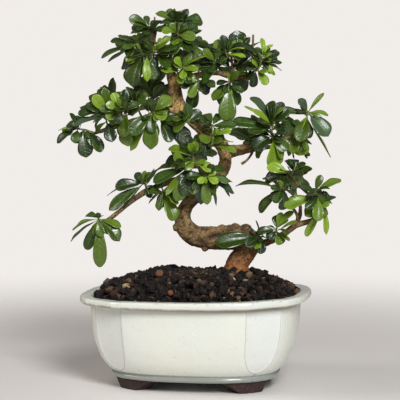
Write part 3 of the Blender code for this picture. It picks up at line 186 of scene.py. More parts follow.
# --- shoots ------------------------------------------------------------------------------------
# name: stem points (u, v, in front); leaves (place along the stem, tip u, v, in front, width);
# how many more leaves spiral round the stem
SHOOTS = {
    "shoot_apex_left": ([(-47, 303, 9), (-55, 299, 11)], [
        (1, -84, 288, 14, 8), (0.8, -78, 285, 4, 7), (0.9, -60, 283, 20, 8),
        (0.5, -57, 307, 14, 7), (0.6, -62, 294, -6, 9), (0.3, -40, 294, 24, 9)], 4),
    "shoot_apex_hanging": ([(-33, 294, 13), (-40, 292, 18), (-48, 290, 16)], [
        (1, -56, 262, 18, 18), (0.6, -38, 266, 14, 12), (0.6, -22, 307, 27, 9),
        (0.9, -53, 301, 24, 7), (0.8, -43, 267, 26, 7), (0.9, -66, 279, 8, 10),
        (0.3, -25, 279, 26, 9), (0.5, -17, 297, 34, 9), (0.7, -44, 304, 32, 8)], 4),
    "shoot_apex_top_left": ([(-38, 309, 7), (-41, 316, 8)], [
        (1, -56, 318, 4, 5), (1, -45, 326, 8, 5), (0.5, -33, 322, 20, 9),
        (0.6, -58, 310, 12, 7), (0.5, -27, 314, 10, 8), (0.3, -50, 303, 22, 8)], 4),
    "shoot_apex_top": ([(-15, 316, 2), (-17, 322, 2)], [
        (0.9, -36, 328, 4, 8), (1, -26, 331, -4, 6), (1, -13, 330, 4, 4),
        (0.6, 6, 320, 4, 14), (0.5, 2, 312, 14, 8), (0.8, -32, 320, -8, 8)], 4),
    "shoot_apex_right": ([(-15, 306, 11), (-17, 311, 16)], [
        (0.8, 0, 306, 24, 8), (0.6, 2, 299, 20, 10), (0.5, -6, 294, 28, 10),
        (1, -30, 311, 26, 8), (0.4, -20, 291, 30, 10)], 4),
    "shoot_apex_rosette": ([(-14, 276, 12), (-12, 279, 18)], [
        (1, -19, 288, 27, 7), (0.9, 9, 290, 24, 9), (0.7, -31, 277, 24, 8),
        (0.6, -12, 265, 26, 8), (1, 1, 277, 32, 8), (0.8, -6, 291, 18, 8)], 3),
    "shoot_apex_rear_left": ([(-42, 292, -22), (-50, 294, -30)], [], 12),
    "shoot_apex_rear_right": ([(-14, 300, -26), (-6, 304, -34)], [], 12),
    "shoot_crown_hanging": ([(1, 269, 7), (3, 268, 12)], [
        (0.5, -4, 243, 9, 11), (1, 6, 258, 14, 6), (0.9, -14, 262, 20, 8),
        (0.8, 17, 262, 18, 8)], 2),
    "shoot_crown_left": ([(17, 281, 10), (17, 286, 15)], [
        (0.5, -9, 278, 20, 10), (0.9, 6, 296, 20, 8), (0.8, 3, 284, 14, 8),
        (1, 20, 305, 16, 7), (0.6, 26, 276, 28, 9)], 5),
    "shoot_crown_riser": ([(28, 289, 13), (26, 294, 17)], [
        (0.3, 5, 265, 25, 9), (0.9, 9, 300, 12, 7), (1, 23, 309, 18, 7),
        (0.8, 43, 297, 26, 6), (0.7, 44, 289, 24, 6), (0.6, 38, 303, 22, 9)], 4),
    "shoot_crown_drop": ([(30, 266, 8), (29, 264, 13)], [
        (0.6, 15, 250, 18, 10), (0.5, 21, 246, 10, 9), (1, 27, 231, 17, 14),
        (0.7, 37, 246, 8, 10), (0.9, 42, 258, 16, 7)], 3),
    "shoot_crown_top": ([(37, 284, 2), (38, 292, 2)], [
        (1, 36, 313, 2, 14), (0.8, 48, 307, 6, 9), (0.9, 25, 303, 2, 9),
        (0.6, 52, 295, 14, 9), (0.7, 57, 303, -4, 8)], 4),
    "shoot_crown_tip": ([(54, 277, 9), (57, 283, 12), (59, 291, 10)], [
        (0.9, 40, 301, 15, 7), (1, 58, 306, 6, 5), (1, 68, 300, 10, 5), (0.9, 74, 293, 6, 7),
        (0.7, 76, 284, 10, 7), (0.6, 76, 277, 2, 6), (0.5, 70, 273, 12, 7),
        (0.3, 62, 264, 18, 8), (0.4, 46, 277, 26, 9), (0.2, 37, 277, 12, 9),
        (0.7, 66, 291, 24, 8), (0.2, 50, 262, 4, 7)], 4),
    "shoot_crown_rear_left": ([(4, 281, -26), (2, 288, -30)], [], 12),
    "shoot_crown_rear_right": ([(32, 278, -14), (38, 284, -24)], [], 12),
    "shoot_left_tip": ([(-98, 224, 14), (-106, 225, 15)], [
        (1, -123, 212, 16, 9), (0.9, -107, 212, 24, 8), (0.6, -97, 199, 18, 12),
        (0.2, -84, 204, 18, 10), (0.8, -114, 229, 4, 7), (0.4, -92, 212, -6, 9)], 4),
    "shoot_left_rise": ([(-79, 231, 20), (-79, 238, 17), (-77, 243, 10)], [
        (0.5, -108, 227, 30, 12), (0.7, -104, 238, 20, 9), (0.3, -74, 213, 28, 10),
        (0.4, -64, 233, 34, 9), (0.8, -103, 244, 4, 9), (1, -82, 256, 8, 6),
        (1, -73, 254, 12, 6), (0.9, -91, 249, -4, 8), (0.8, -66, 246, 22, 8)], 4),
    "shoot_left_broad": ([(-62, 238, 20), (-66, 243, 24)], [
        (1, -80, 247, 30, 7), (0.7, -63, 217, 30, 13), (0.4, -80, 219, 16, 10),
        (0.8, -50, 247, 30, 8), (0.3, -60, 209, 18, 11)], 5),
    "shoot_left_inner": ([(-42, 238, 20), (-38, 240, 26)], [
        (0.8, -58, 220, 32, 12), (0.9, -40, 206, 26, 13), (1, -26, 235, 34, 9),
        (1, -21, 252, 32, 12), (0.5, -58, 205, 20, 9), (0.6, -51, 252, 24, 9)], 4),
    "shoot_left_under": ([(-33, 235, 13), (-31, 232, 17)], [
        (1, -6, 214, 16, 14), (0.6, -15, 224, 6, 9), (0.7, -22, 213, 22, 9)], 4),
    "shoot_left_crest": ([(-52, 244, 4), (-57, 252, 4)], [
        (1, -74, 256, 4, 6), (0.9, -62, 262, 10, 8), (1, -47, 263, -4, 8),
        (0.6, -43, 256, 10, 9), (0.7, -66, 247, 6, 9), (0.5, -35, 247, 4, 9)], 5),
    "shoot_left_rear": ([(-70, 243, -44), (-76, 245, -48)], [], 12),
    "shoot_left_rear_inner": ([(-38, 250, -34), (-38, 257, -38)], [], 12),
    "shoot_centre_rosette": ([(8, 183, 33), (10, 182, 37)], [
        (1, 19, 176, 42, 8), (0.9, 2, 176, 42, 6), (0.6, 29, 177, 38, 8), (0.4, 34, 167, 26, 9),
        (0.3, 4, 157, 24, 9), (0.5, 10, 157, 34, 8), (0.4, 18, 156, 28, 7),
        (0.2, 30, 164, 14, 8), (0.7, -9, 182, 40, 8)], 4),
    "shoot_centre_left": ([(-6, 190, 25), (-10, 192, 26)], [
        (0.9, -38, 177, 26, 11), (1, -36, 188, 18, 8), (0.7, -35, 171, 20, 10),
        (0.6, -27, 165, 28, 7), (0.4, -18, 160, 30, 11), (0.8, -20, 202, 34, 9)], 5),
    "shoot_centre_heart": ([(-2, 197, 31), (-4, 203, 32)], [
        (0.7, -30, 192, 24, 12), (0.8, -24, 208, 20, 9), (0.5, -9, 188, 40, 7),
        (0.4, 13, 186, 40, 10), (1, 2, 212, 40, 9), (0.9, -12, 212, 26, 9)], 6),
    "shoot_centre_tip": ([(-8, 231, 28), (-11, 233, 29)], [
        (1, -17, 237, 31, 5), (0.9, -6, 239, 32, 6), (0.5, 4, 241, 22, 9),
        (0.6, -20, 223, 28, 8)], 3),
    "shoot_centre_right": ([(13, 208, 18), (15, 217, 21), (14, 228, 19)], [
        (0.25, 36, 204, 28, 8), (0.4, 33, 213, 28, 6), (0.6, 31, 222, 32, 8),
        (0.3, 4, 202, 30, 9), (0.9, -1, 236, 14, 8), (1, 24, 238, 12, 9), (1, 36, 228, 24, 9),
        (0.6, 4, 214, 34, 10)], 4),
    "shoot_right_fan": ([(67, 223, 11), (68, 229, 12)], [
        (1, 48, 253, 14, 11), (0.9, 67, 250, 8, 12), (0.8, 43, 245, 18, 4),
        (0.9, 50, 242, 24, 5), (0.6, 32, 231, 16, 11), (1, 81, 243, 10, 10),
        (0.5, 46, 222, 24, 12)], 4),
    "shoot_right_broad": ([(67, 219, 18), (68, 217, 22)], [
        (0.6, 50, 207, 22, 15), (1, 67, 191, 22, 16), (0.4, 53, 199, 10, 11),
        (0.8, 81, 206, 24, 12), (0.5, 83, 225, 24, 10)], 4),
    "shoot_right_tip": ([(98, 235, 9), (99, 240, 10)], [
        (0.9, 117, 218, 18, 15), (0.4, 119, 199, 12, 10), (1, 117, 237, 4, 6),
        (1, 113, 257, 8, 4), (1, 90, 251, 16, 8), (0.8, 73, 242, 10, 7),
        (0.6, 92, 213, 22, 13), (0.9, 103, 249, 16, 4)], 3),
    "shoot_right_under": ([(90, 221, 12), (92, 223, 16)], [
        (0.4, 84, 203, 14, 11), (0.7, 93, 201, 12, 12), (0.9, 74, 229, 22, 10),
        (0.6, 76, 236, 4, 9)], 4),
    "shoot_right_rear": ([(80, 213, -56), (84, 216, -60)], [], 12),
    "shoot_right_rear_inner": ([(52, 214, -40), (50, 221, -42)], [], 12),
    "shoot_low_rear": ([(-5, 201, -65), (-2, 206, -67)], [], 12),
    "shoot_low_right_rear": ([(84, 170, -35), (82, 176, -38)], [], 12),
    "shoot_low_right_crest": ([(84, 184, 31), (86, 187, 32)], [
        (1, 97, 194, 34, 9), (0.9, 82, 198, 26, 12), (0.6, 61, 178, 24, 11),
        (0.4, 96, 180, 20, 9)], 3),
    "shoot_low_right_long": ([(77, 172, 29), (75, 171, 32)], [
        (1, 35, 174, 30, 11), (0.8, 60, 181, 20, 10), (0.6, 56, 150, 28, 12),
        (0.7, 38, 155, 24, 10), (0.9, 84, 176, 42, 6), (0.5, 90, 160, 20, 9)], 3),
    "shoot_low_right_outer": ([(113, 155, 20), (109, 163, 25), (105, 169, 28)], [
        (1, 128, 180, 20, 9), (0.9, 92, 176, 32, 6), (0.7, 78, 155, 32, 12),
        (0.5, 117, 167, 14, 9), (0.4, 117, 156, 26, 7), (0.35, 96, 147, 24, 11),
        (0.3, 104, 143, 30, 8), (0.3, 103, 172, 2, 9), (0.2, 97, 129, 16, 6)], 3),
    "shoot_low_right_knot": ([(71, 133, 16), (71, 136, 19)], [
        (1, 86, 151, 22, 7), (0.9, 71, 148, 14, 7), (0.7, 54, 133, 20, 7),
        (0.4, 74, 121, 20, 9), (0.5, 89, 142, 26, 6)], 2),
    "shoot_low_right_spur": ([(57, 128, 11), (57, 128.5, 14)], [
        (0.5, 57, 113, 16, 8), (0.9, 17, 122, 20, 14), (0.8, 63, 127, 22, 6),
        (0.7, 53, 143, 10, 3)], 1),
    "shoot_trail_tip": ([(-86, 144, 13), (-86, 145, 16)], [
        (0.7, -85, 101, 16, 11), (0.5, -97, 117, 12, 9), (0.9, -109, 134, 18, 10),
        (0.4, -111, 124, 8, 7), (1, -97, 148, 8, 7), (0.3, -76, 130, 8, 4),
        (1, -87, 150, 16, 5), (0.8, -66, 137, 18, 8)], 1),
    "shoot_trail_base": ([(-45, 175, 12), (-47, 176, 13)], [
        (0.9, -77, 152, 14, 10), (1, -79, 165, 6, 5), (0.7, -52, 182, 10, 6),
        (0.5, -40, 163, 16, 6), (0.3, -34, 189, 6, 8)], 2),
    "shoot_trail_inner": ([(-30, 172, 12), (-29, 169, 15)], [
        (0.6, -31, 154, 16, 8), (1, -19, 143, 20, 12), (0.8, -17, 157, 26, 7),
        (0.7, -42, 158, 6, 7)], 3),
}

# how young a leaf is, by its tip (u, v): 0 is a dark old leaf and 1 a yellow-green new one
YOUNG = {
    "shoot_apex_hanging": {(-22, 307): .62, (-53, 301): .55, (-43, 267): .8, (-56, 262): .22},
    "shoot_apex_left": {(-60, 283): .4, (-62, 294): .35},
    "shoot_apex_top": {(-13, 330): .9, (-36, 328): .3},
    "shoot_apex_right": {(0, 306): .35, (-30, 311): .5},
    "shoot_apex_rosette": {(-19, 288): .75, (9, 290): .85, (-31, 277): .7, (-12, 265): .6,
                           (1, 277): .75, (-6, 291): .6},
    "shoot_crown_riser": {(43, 297): .95, (44, 289): .9, (38, 303): .25},
    "shoot_crown_left": {(20, 305): .4, (6, 296): .35},
    "shoot_crown_tip": {(58, 306): .9, (68, 300): 1, (62, 264): .75, (76, 277): .7, (66, 291): .6,
                        (70, 273): .65},
    "shoot_crown_drop": {(27, 231): .28, (15, 250): .3},
    "shoot_left_broad": {(-80, 247): .6, (-80, 219): .75, (-63, 217): .3, (-60, 209): .42},
    "shoot_left_inner": {(-26, 235): .5, (-21, 252): .4, (-40, 206): .3, (-58, 205): .5},
    "shoot_left_crest": {(-62, 262): .4, (-43, 256): .35},
    "shoot_centre_rosette": {(19, 176): 1, (2, 176): .9, (29, 177): .4, (10, 157): .35},
    "shoot_centre_heart": {(-24, 208): .6, (13, 186): .8, (2, 212): .5, (-9, 188): .5},
    "shoot_centre_left": {(-27, 165): .45, (-18, 160): .3, (-20, 202): .45},
    "shoot_centre_tip": {(-17, 237): .85, (-6, 239): .95, (-20, 223): .4},
    "shoot_centre_right": {(31, 222): .85, (33, 213): .95, (36, 204): .5, (4, 214): .4},
    "shoot_right_fan": {(50, 242): .75, (43, 245): .7, (67, 250): .3},
    "shoot_right_broad": {(67, 191): .7, (53, 199): .5, (81, 206): .25},
    "shoot_right_tip": {(119, 199): .55, (103, 249): 1, (117, 237): .6, (113, 257): .4,
                        (117, 218): .2, (92, 213): .25},
    "shoot_right_under": {(84, 203): .5, (93, 201): .5},
    "shoot_low_right_outer": {(78, 155): .6, (117, 156): .55, (97, 129): .9, (128, 180): .4,
                              (96, 147): .5},
    "shoot_low_right_knot": {(86, 151): .7, (89, 142): .6, (74, 121): .4},
    "shoot_low_right_long": {(56, 150): .2, (38, 155): .42},
    "shoot_low_right_spur": {(17, 122): .06},
    "shoot_trail_tip": {(-109, 134): .45, (-66, 137): .4, (-85, 101): .3},
    "shoot_trail_inner": {(-17, 157): .95, (-19, 143): .35},
}
# leaves painted with a bluish sheen, a painted reflection, by their tips
PAINTED_SHEEN_TIPS = {(-33, 322), (38, 303), (46, 277), (-108, 227), (29, 177), (34, 167), (48, 253),
           (83, 225), (90, 251), (117, 218), (104, 143), (4, 157), (18, 156)}

UP = Vector((0.0, 0.0, 1.0))
TREE_FRONT = Vector((math.sin(TREE_TURN), -math.cos(TREE_TURN), 0.0))

# --- leaves --------------------------------------------------------------------------------------
STEM_RADIUS = 1.0
STEM_LIFT = 2.2               # a stem leaves the wood square before it bends away
STEM_START_GAP = 0.6
STEM_ROOT = 1.4               # how deep a stem is set into its branch
STEM_SIDES = 8
LEAF_COLUMNS, LEAF_ROWS = 6, 12
STALK_SHARE = 0.14            # share of a leaf's length that is stalk
STALK_HALF_WIDTH = 0.42
BLADE_PEAK = 0.663            # the blade curve's own highest value
BLADE_END = 0.997             # the curve stops here, so the tip is blunt
BREADTH = 1.12                # a curved blade looks narrower than the flat one it follows
COMPANION_TRIES = 7
COMPANION_TURN = (28, 80)     # degrees from the leaf that a companion grows beside
COMPANION_SIZE = (0.62, 0.9)  # of that leaf's length
COMPANION_BREADTH = 0.44      # of its own length, at most
OPENING_MARGIN = 1.5
FRESH_SHARE = 0.2             # of the companions are new leaves
LEAF_ROLL = 26                # degrees a leaf may turn about its length
LEAF_FOLD = (9, 27)           # degrees each half stands up from flat
GOLDEN_ANGLE = math.radians(137.5)
SPIRAL_LENGTH = (19.0, 29.0)
FILLING_LENGTH = (14.0, 21.0)
SHORTENED = (1, 0.86, 0.74)
TIP_MATCH = 0.08              # a leaf belongs where the fixed tree has a tip this near
NUDGES = [(0, 0, 0), (0, 0, 4), (0, 0, -4), (0, 0, 8), (0, 0, -8), (1, -2, 4), (-1, 2, -4),
          (0, 2, 12), (0, -2, -12), (2, 2, 6), (-2, -2, 6), (2, -2, -6), (-2, 2, 16),
          (3, 3, -14), (-3, -3, 14), (4, -1, 9), (-4, 1, -9), (0, 4, 18), (0, -4, -18)]


# --- settings ------------------------------------------------------------------------------------
def colour_setting(name, description, value):
    return bpy.props.FloatVectorProperty(name=name, description=description, subtype="COLOR",
                                         size=3, min=0.0, max=1.0, default=value)


def count_setting(name, description, default, low, high):
    return bpy.props.IntProperty(name=name, description=description, default=default, min=low,
                                 max=high)


def thickness_setting(name, description, default, low, high):
    """A small length, given in millimetres."""
    return bpy.props.FloatProperty(name=name, description=description, default=default * MM,
                                   min=low * MM, max=high * MM, subtype="DISTANCE",
                                   unit="LENGTH", precision=5)


def light_setting(name, description, default, high):
    return bpy.props.FloatProperty(name=name, description=description, default=default, min=0.0,
                                   max=high)


class BonsaiPotSettings(bpy.types.PropertyGroup):
    """The pot and its feet."""
    glaze: colour_setting("Glaze", "Colour of the cream glaze", (0.79, 0.80, 0.71))
    pooled: colour_setting("Pooled glaze", "Colour where the glaze lies thick",
                           (0.76, 0.79, 0.79))
    bare_clay: colour_setting("Bare clay", "Colour where the glaze has drawn thin",
                              (0.17, 0.105, 0.06))
    # the feet's colour is partly the clay and partly painted shade for the shadow under the pot
    foot_clay: colour_setting("Foot clay", "Colour of the unglazed feet", (0.045, 0.022, 0.017))
    ring_points: count_setting("Ring points", "Points round the pot", 384, 48, 512)
    panel_recess: thickness_setting("Panel recess", "How deep the corner panels are let in",
                                    0.5, 0.0, 2.0)


class BonsaiSoilSettings(bpy.types.PropertyGroup):
    """The loose top of the soil."""
    crumbs: count_setting("Crumbs", "Number of dark crumbs", 6600, 100, 8000)
    pellets: count_setting("Pellets", "Number of fired clay grains", 95, 0, 1000)
    pumice: count_setting("Pumice", "Number of pale grains", 190, 0, 1000)
    fibres: count_setting("Fibres", "Number of bark slivers", 210, 0, 1000)
    dark: colour_setting("Crumb colour", "Colour of the wet crumbs", (0.006, 0.004, 0.0035))
    clay: colour_setting("Clay colour", "Colour of the fired clay", (0.22, 0.085, 0.035))
    pale: colour_setting("Pumice colour", "Colour of the pale grains", (0.36, 0.29, 0.17))


class BonsaiWoodSettings(bpy.types.PropertyGroup):
    """The trunk and branches."""
    tan: colour_setting("Bark", "Colour of the bark's ridges", (0.325, 0.205, 0.082))
    dark: colour_setting("Bark cracks", "Colour of the bark's cracks", (0.045, 0.019, 0.008))
    pale: colour_setting("Worn bark", "Colour of worn and young bark", (0.55, 0.42, 0.215))
    red: colour_setting("Root bark", "Colour of the rough bark by the soil",
                        (0.38, 0.125, 0.035))
    fineness: thickness_setting("Fineness", "Size of the bark's cells", 0.7, 0.4, 2.0)


class BonsaiLeafSettings(bpy.types.PropertyGroup):
    """The leaves."""
    old: colour_setting("Old leaf", "Colour of the darkest leaves", (0.0075, 0.019, 0.0014))
    grown: colour_setting("Grown leaf", "Colour of most leaves", (0.038, 0.083, 0.0040))
    young: colour_setting("Young leaf", "Colour of the newest leaves", (0.32, 0.49, 0.03))
    underside: colour_setting("Underside", "Colour of a leaf's back", (0.085, 0.13, 0.022))
    stem: colour_setting("Stem", "Colour of the green stems", (0.26, 0.30, 0.09))
    thickness: thickness_setting("Thickness", "Thickness of a leaf", 0.28, 0.1, 1.0)


class BonsaiStageSettings(bpy.types.PropertyGroup):
    """The floor, the light and the camera."""
    backdrop: colour_setting("Backdrop", "Colour behind the tree", (0.88, 0.845, 0.82))
    floor: colour_setting("Floor", "Colour of the floor", (0.82, 0.78, 0.75))
    floor_radius: bpy.props.FloatProperty(name="Floor radius", description="Size of the floor",
                                          default=6.0, min=1.0, max=20.0, unit="LENGTH")
    daylight: light_setting("Daylight", "Strength of the soft light", 0.24, 5.0)
    key: light_setting("Key", "Power of the main light in watts", 42.5, 500.0)
    window: light_setting("Window", "Power of the warm light from the left in watts", 9.0, 500.0)


# --- meshes --------------------------------------------------------------------------------------
def mesh_from(bm, name):
    """A mesh of this shape, which is then let go."""
    mesh = bpy.data.meshes.new(name)
    bm.to_mesh(mesh)
    bm.free()
    return mesh


def put(name, data):
    """A new object in the scene."""
    made = bpy.data.objects.new(name, data)
    bpy.context.scene.collection.objects.link(made)
    return made


def finish_piece(name, bm, finishes, slot, *nodes, smooth=None):
    """Bring a mesh from the pot's frame to its place in metres, and fix it to the frame."""
    bmesh.ops.translate(bm, vec=PLACE, verts=bm.verts)
    bmesh.ops.scale(bm, vec=(MM, MM, MM), verts=bm.verts)
    mesh = mesh_from(bm, name)
    for finish in finishes:
        mesh.materials.append(finish)
    if smooth is not None:
        mesh.shade_smooth()
        mesh.set_sharp_from_angle(angle=math.radians(smooth))
    made = put(name, mesh)
    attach(made, "root")
    if nodes:
        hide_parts(*nodes)
    return made


def evaluated(bm, name, prepare):
    """The mesh after the modifiers that prepare adds to an object that holds it."""
    holder = put(name, mesh_from(bm, name))
    prepare(holder)
    depsgraph = bpy.context.evaluated_depsgraph_get()
    result = bmesh.new()
    result.from_mesh(holder.evaluated_get(depsgraph).to_mesh())
    bpy.data.objects.remove(holder)
    return result


def node_points(node):
    """A fixed node's corners in the pot's frame, and its faces."""
    mesh = frame["nodes"][node].data
    points = [v.co / MM - PLACE for v in mesh.vertices]
    return points, [tuple(face.vertices) for face in mesh.polygons]


def node_box(node):
    """A fixed node's lowest and highest corner in the pot's frame."""
    return [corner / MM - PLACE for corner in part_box(node)]


def loft(rings, bm=None):
    """One closed skin through rings of points, each turning left about the way it travels."""
    bm = bm or bmesh.new()
    first = [bm.verts.new(point) for point in rings[0]]
    cap = bm.faces.new(first)
    for ring in rings[1:]:
        cap = bmesh.ops.extrude_discrete_faces(bm, faces=[cap])["faces"][0]
        for vert, point in zip(cap.verts, ring):
            vert.co = point
    bm.faces.new(reversed(first))
    return bm


def smooth_line(rows, step):
    """Rows of numbers along a smooth curve through the given ones, a step apart or less."""
    rows = np.array(rows, dtype=float)
    ends = np.vstack([2 * rows[0] - rows[1], rows, 2 * rows[-1] - rows[-2]])
    made = []
    for a, b, c, d in zip(ends, ends[1:], ends[2:], ends[3:]):
        count = max(1, math.ceil(np.linalg.norm((c - b)[:3]) / step))
        for t in np.arange(count) / count:
            made.append(0.5 * (2 * b + (c - a) * t + (2 * a - 5 * b + 4 * c - d) * t ** 2
                               + (3 * b - a - 3 * c + d) * t ** 3))
    return made + [rows[-1]]


def tube(points, radii, sides):
    """Rings round a bent line, each carried on from the last without twisting."""
    rings = []
    across = None
    for index, (point, radius) in enumerate(zip(points, radii)):
        before = points[max(index - 1, 0)]
        after = points[min(index + 1, len(points) - 1)]
        along = (after - before).normalized()
        if across is None:
            across = along.orthogonal()
        across = (across - along * across.dot(along)).normalized()
        other = along.cross(across)
        rings.append([point + radius * (across * math.cos(a) + other * math.sin(a))
                      for a in (math.tau * side / sides for side in range(sides))])
    return rings


def smooth_tube(line, step, sides, bm):
    """A round, smoothly bent limb along (point, radius) pairs."""
    rows = smooth_line([(*point, radius) for point, radius in line], step)
    loft(tube([Vector(row[:3]) for row in rows], [float(row[3]) for row in rows], sides), bm)


def between(value, low, high):
    """0 at low, 1 at high, and eased in between."""
    share = max(0.0, min(1.0, (value - low) / (high - low)))
    return share * share * (3 - 2 * share)


# --- finishes ------------------------------------------------------------------------------------
def add(tree, kind, inputs=None, **settings):
    """A shader node; each input is a value, or the output that feeds it."""
    node = tree.nodes.new("ShaderNode" + kind)
    for key, value in settings.items():
        setattr(node, key, value)
    for key, value in (inputs or {}).items():
        if isinstance(value, bpy.types.NodeSocket):
            tree.links.new(value, node.inputs[key])
        else:
            node.inputs[key].default_value = value
    return node


def arith(tree, operation, a, b=0.5):
    return add(tree, "Math", {0: a, 1: b}, operation=operation).outputs[0]


def spread(tree, value, low, high, to_low=0.0, to_high=1.0):
    """Map low to high onto another range, eased and clamped."""
    return add(tree, "MapRange", {"Value": value, "From Min": low, "From Max": high,
                                  "To Min": to_low, "To Max": to_high},
               interpolation_type="SMOOTHSTEP").outputs["Result"]


def mix(tree, factor, a, b):
    """Blend two colours."""
    a, b = (c if isinstance(c, bpy.types.NodeSocket) else (*c, 1.0) for c in (a, b))
    return add(tree, "Mix", {0: factor, 6: a, 7: b}, data_type="RGBA").outputs[2]


def tint(tree, colour, mask, strength, shade):
    """Lay a shade over a colour where the mask shows."""
    return mix(tree, arith(tree, "MULTIPLY", mask, strength), colour, shade)


def ranged(tree, value, low, high):
    """Carry a value from 0 to 1 onto another range."""
    return add(tree, "MapRange", {"Value": value, "To Min": low, "To Max": high}).outputs["Result"]


def own_space(tree):
    return add(tree, "TexCoord").outputs["Object"]


def own_height(tree):
    return add(tree, "SeparateXYZ", {0: own_space(tree)}).outputs["Z"]


def attribute(tree, name):
    return add(tree, "Attribute", attribute_name=name).outputs["Fac"]


def mottle_group():
    """Soft patches or fine specks: noise in the object's own space, cut between two levels."""
    name = "Mottle"
    if name in bpy.data.node_groups:
        return bpy.data.node_groups[name]
    group = bpy.data.node_groups.new(name, "ShaderNodeTree")
    for label, value in (("Size", 0.005), ("Detail", 3.0), ("Low", 0.4), ("High", 0.6)):
        socket = group.interface.new_socket(label, in_out="INPUT", socket_type="NodeSocketFloat")
        socket.default_value = value
    group.interface.new_socket("Stretch", in_out="INPUT", socket_type="NodeSocketVector")
    group.interface.new_socket("Mask", in_out="OUTPUT", socket_type="NodeSocketFloat")
    group.interface.new_socket("Height", in_out="OUTPUT", socket_type="NodeSocketFloat")
    outside = group.nodes.new("NodeGroupInput")
    inside = group.nodes.new("NodeGroupOutput")
    drawn = add(group, "VectorMath", {0: own_space(group), 1: outside.outputs["Stretch"]},
                operation="MULTIPLY").outputs[0]
    scale = arith(group, "DIVIDE", 1.0, outside.outputs["Size"])
    fine = add(group, "TexNoise", {"Vector": drawn, "Scale": scale,
                                   "Detail": outside.outputs["Detail"]}).outputs["Fac"]
    mask = add(group, "MapRange", {"Value": fine, "From Min": outside.outputs["Low"],
                                   "From Max": outside.outputs["High"]},
               interpolation_type="SMOOTHSTEP").outputs["Result"]
    group.links.new(mask, inside.inputs["Mask"])
    group.links.new(fine, inside.inputs["Height"])
    return group


def mottle(tree, size, low=0.4, high=0.6, detail=3.0, stretch=(1, 1, 1)):
    """The mottle group placed in a finish; size is in millimetres."""
    node = tree.nodes.new("ShaderNodeGroup")
    node.node_tree = mottle_group()
    for label, value in (("Size", size * MM), ("Detail", detail), ("Low", low), ("High", high),
                         ("Stretch", stretch)):
        node.inputs[label].default_value = value
    return node.outputs


def new_finish(name, constants):
    """A material, and its shader with these constant values."""
    made = bpy.data.materials.new(name)
    made.use_nodes = True
    shader = made.node_tree.nodes["Principled BSDF"]
    for socket, value in constants.items():
        shader.inputs[socket].default_value = value
    return made, made.node_tree, shader


def dress(tree, shader, colour=None, roughness=None, height=None, depth=0.1):
    """Feed the shader its colour, roughness and bump; depth is the bump's in millimetres."""
    if colour is not None:
        tree.links.new(colour, shader.inputs["Base Color"])
    if roughness is not None:
        tree.links.new(roughness, shader.inputs["Roughness"])
    if height is not None:
        bump = add(tree, "Bump", {"Height": height, "Strength": 1.0, "Distance": depth * MM})
        tree.links.new(bump.outputs["Normal"], shader.inputs["Normal"])


# --- pot -----------------------------------------------------------------------------------------
POT_STEP = 1.2
RIM_WAVE = 0.35               # how far the hand-made pot strays from its plan
WAVE_LENGTH, RIPPLE_LENGTH = 34, 11
RIPPLE_SHARE = 0.35
WAVERING = (40, 78)           # between these heights the pot's level comes to waver too
OUTLINE = 0.13                # how far round a panel's edge its outline shows, in cut depth


def reach(half_width, half_depth, direction):
    """How far a superellipse reaches in a direction."""
    power = SQUARENESS / (SQUARENESS - 1)
    along = (half_width * abs(direction.x)) ** power + (half_depth * abs(direction.y)) ** power
    return along ** (1 / power)


def plan_point(half_width, half_depth, angle):
    """A point of the pot's plan before its corners are cut."""
    c, s = math.cos(angle), math.sin(angle)
    power = 2 / SQUARENESS
    return Vector((half_width * math.copysign(abs(c) ** power, c),
                   half_depth * math.copysign(abs(s) ** power, s)))


def facet_cut(height):
    """Facets end in a round foot low on the wall."""
    drop = (FACET_HIGH - height) / (FACET_HIGH - FACET_LOW)
    return FACET_DEPTH * max(0.0, 1 - max(drop, 0.0) ** FACET_ROUNDNESS)


def pot_ring(half_width, cut, height, count, recess):
    """The pot's section at one height, and how deep each of its points lies inside a facet."""
    half_depth = half_width - SLIMNESS
    points, depths = [], []
    for step in range(count):
        point = plan_point(half_width, half_depth, math.tau * step / count)
        side = Vector((math.copysign(math.sin(FACET_TURN), point.x),
                       math.copysign(math.cos(FACET_TURN), point.y)))
        over = point.dot(side) - (reach(half_width, half_depth, side) - cut)
        inside = max(over, 0.0)
        point -= side * (inside + recess * between(inside, 0.0, PANEL_EDGE))
        lean = RIM_LEAN * height / RIM_HEIGHT
        points.append(Vector((point.x, point.y, height + point.x * lean)))
        depths.append(over)
    return points, depths


def pot_sections(count, recess):
    """Every ring of the pot, up the outside, over the lip and down the inside."""
    sections = []
    for profile, cut_at, recessed in (
            (POT_BEAD, facet_cut, 0.0), (POT_WALL, facet_cut, recess),
            (POT_LIP, lambda z: RIM_FACET_DEPTH, 0.0),
            (POT_INSIDE, lambda z: INSIDE_FACET_DEPTH, 0.0)):
        rows = smooth_line(profile, POT_STEP)
        if sections:
            rows = rows[1:] if profile[0] == last else rows
        last = profile[-1]
        for height, half_width in rows:
            points, depths = pot_ring(half_width, cut_at(height), height, count, recessed)
            if not recessed:
                depths = [-FACET_DEPTH] * count
            sections.append((points, depths))
    return sections


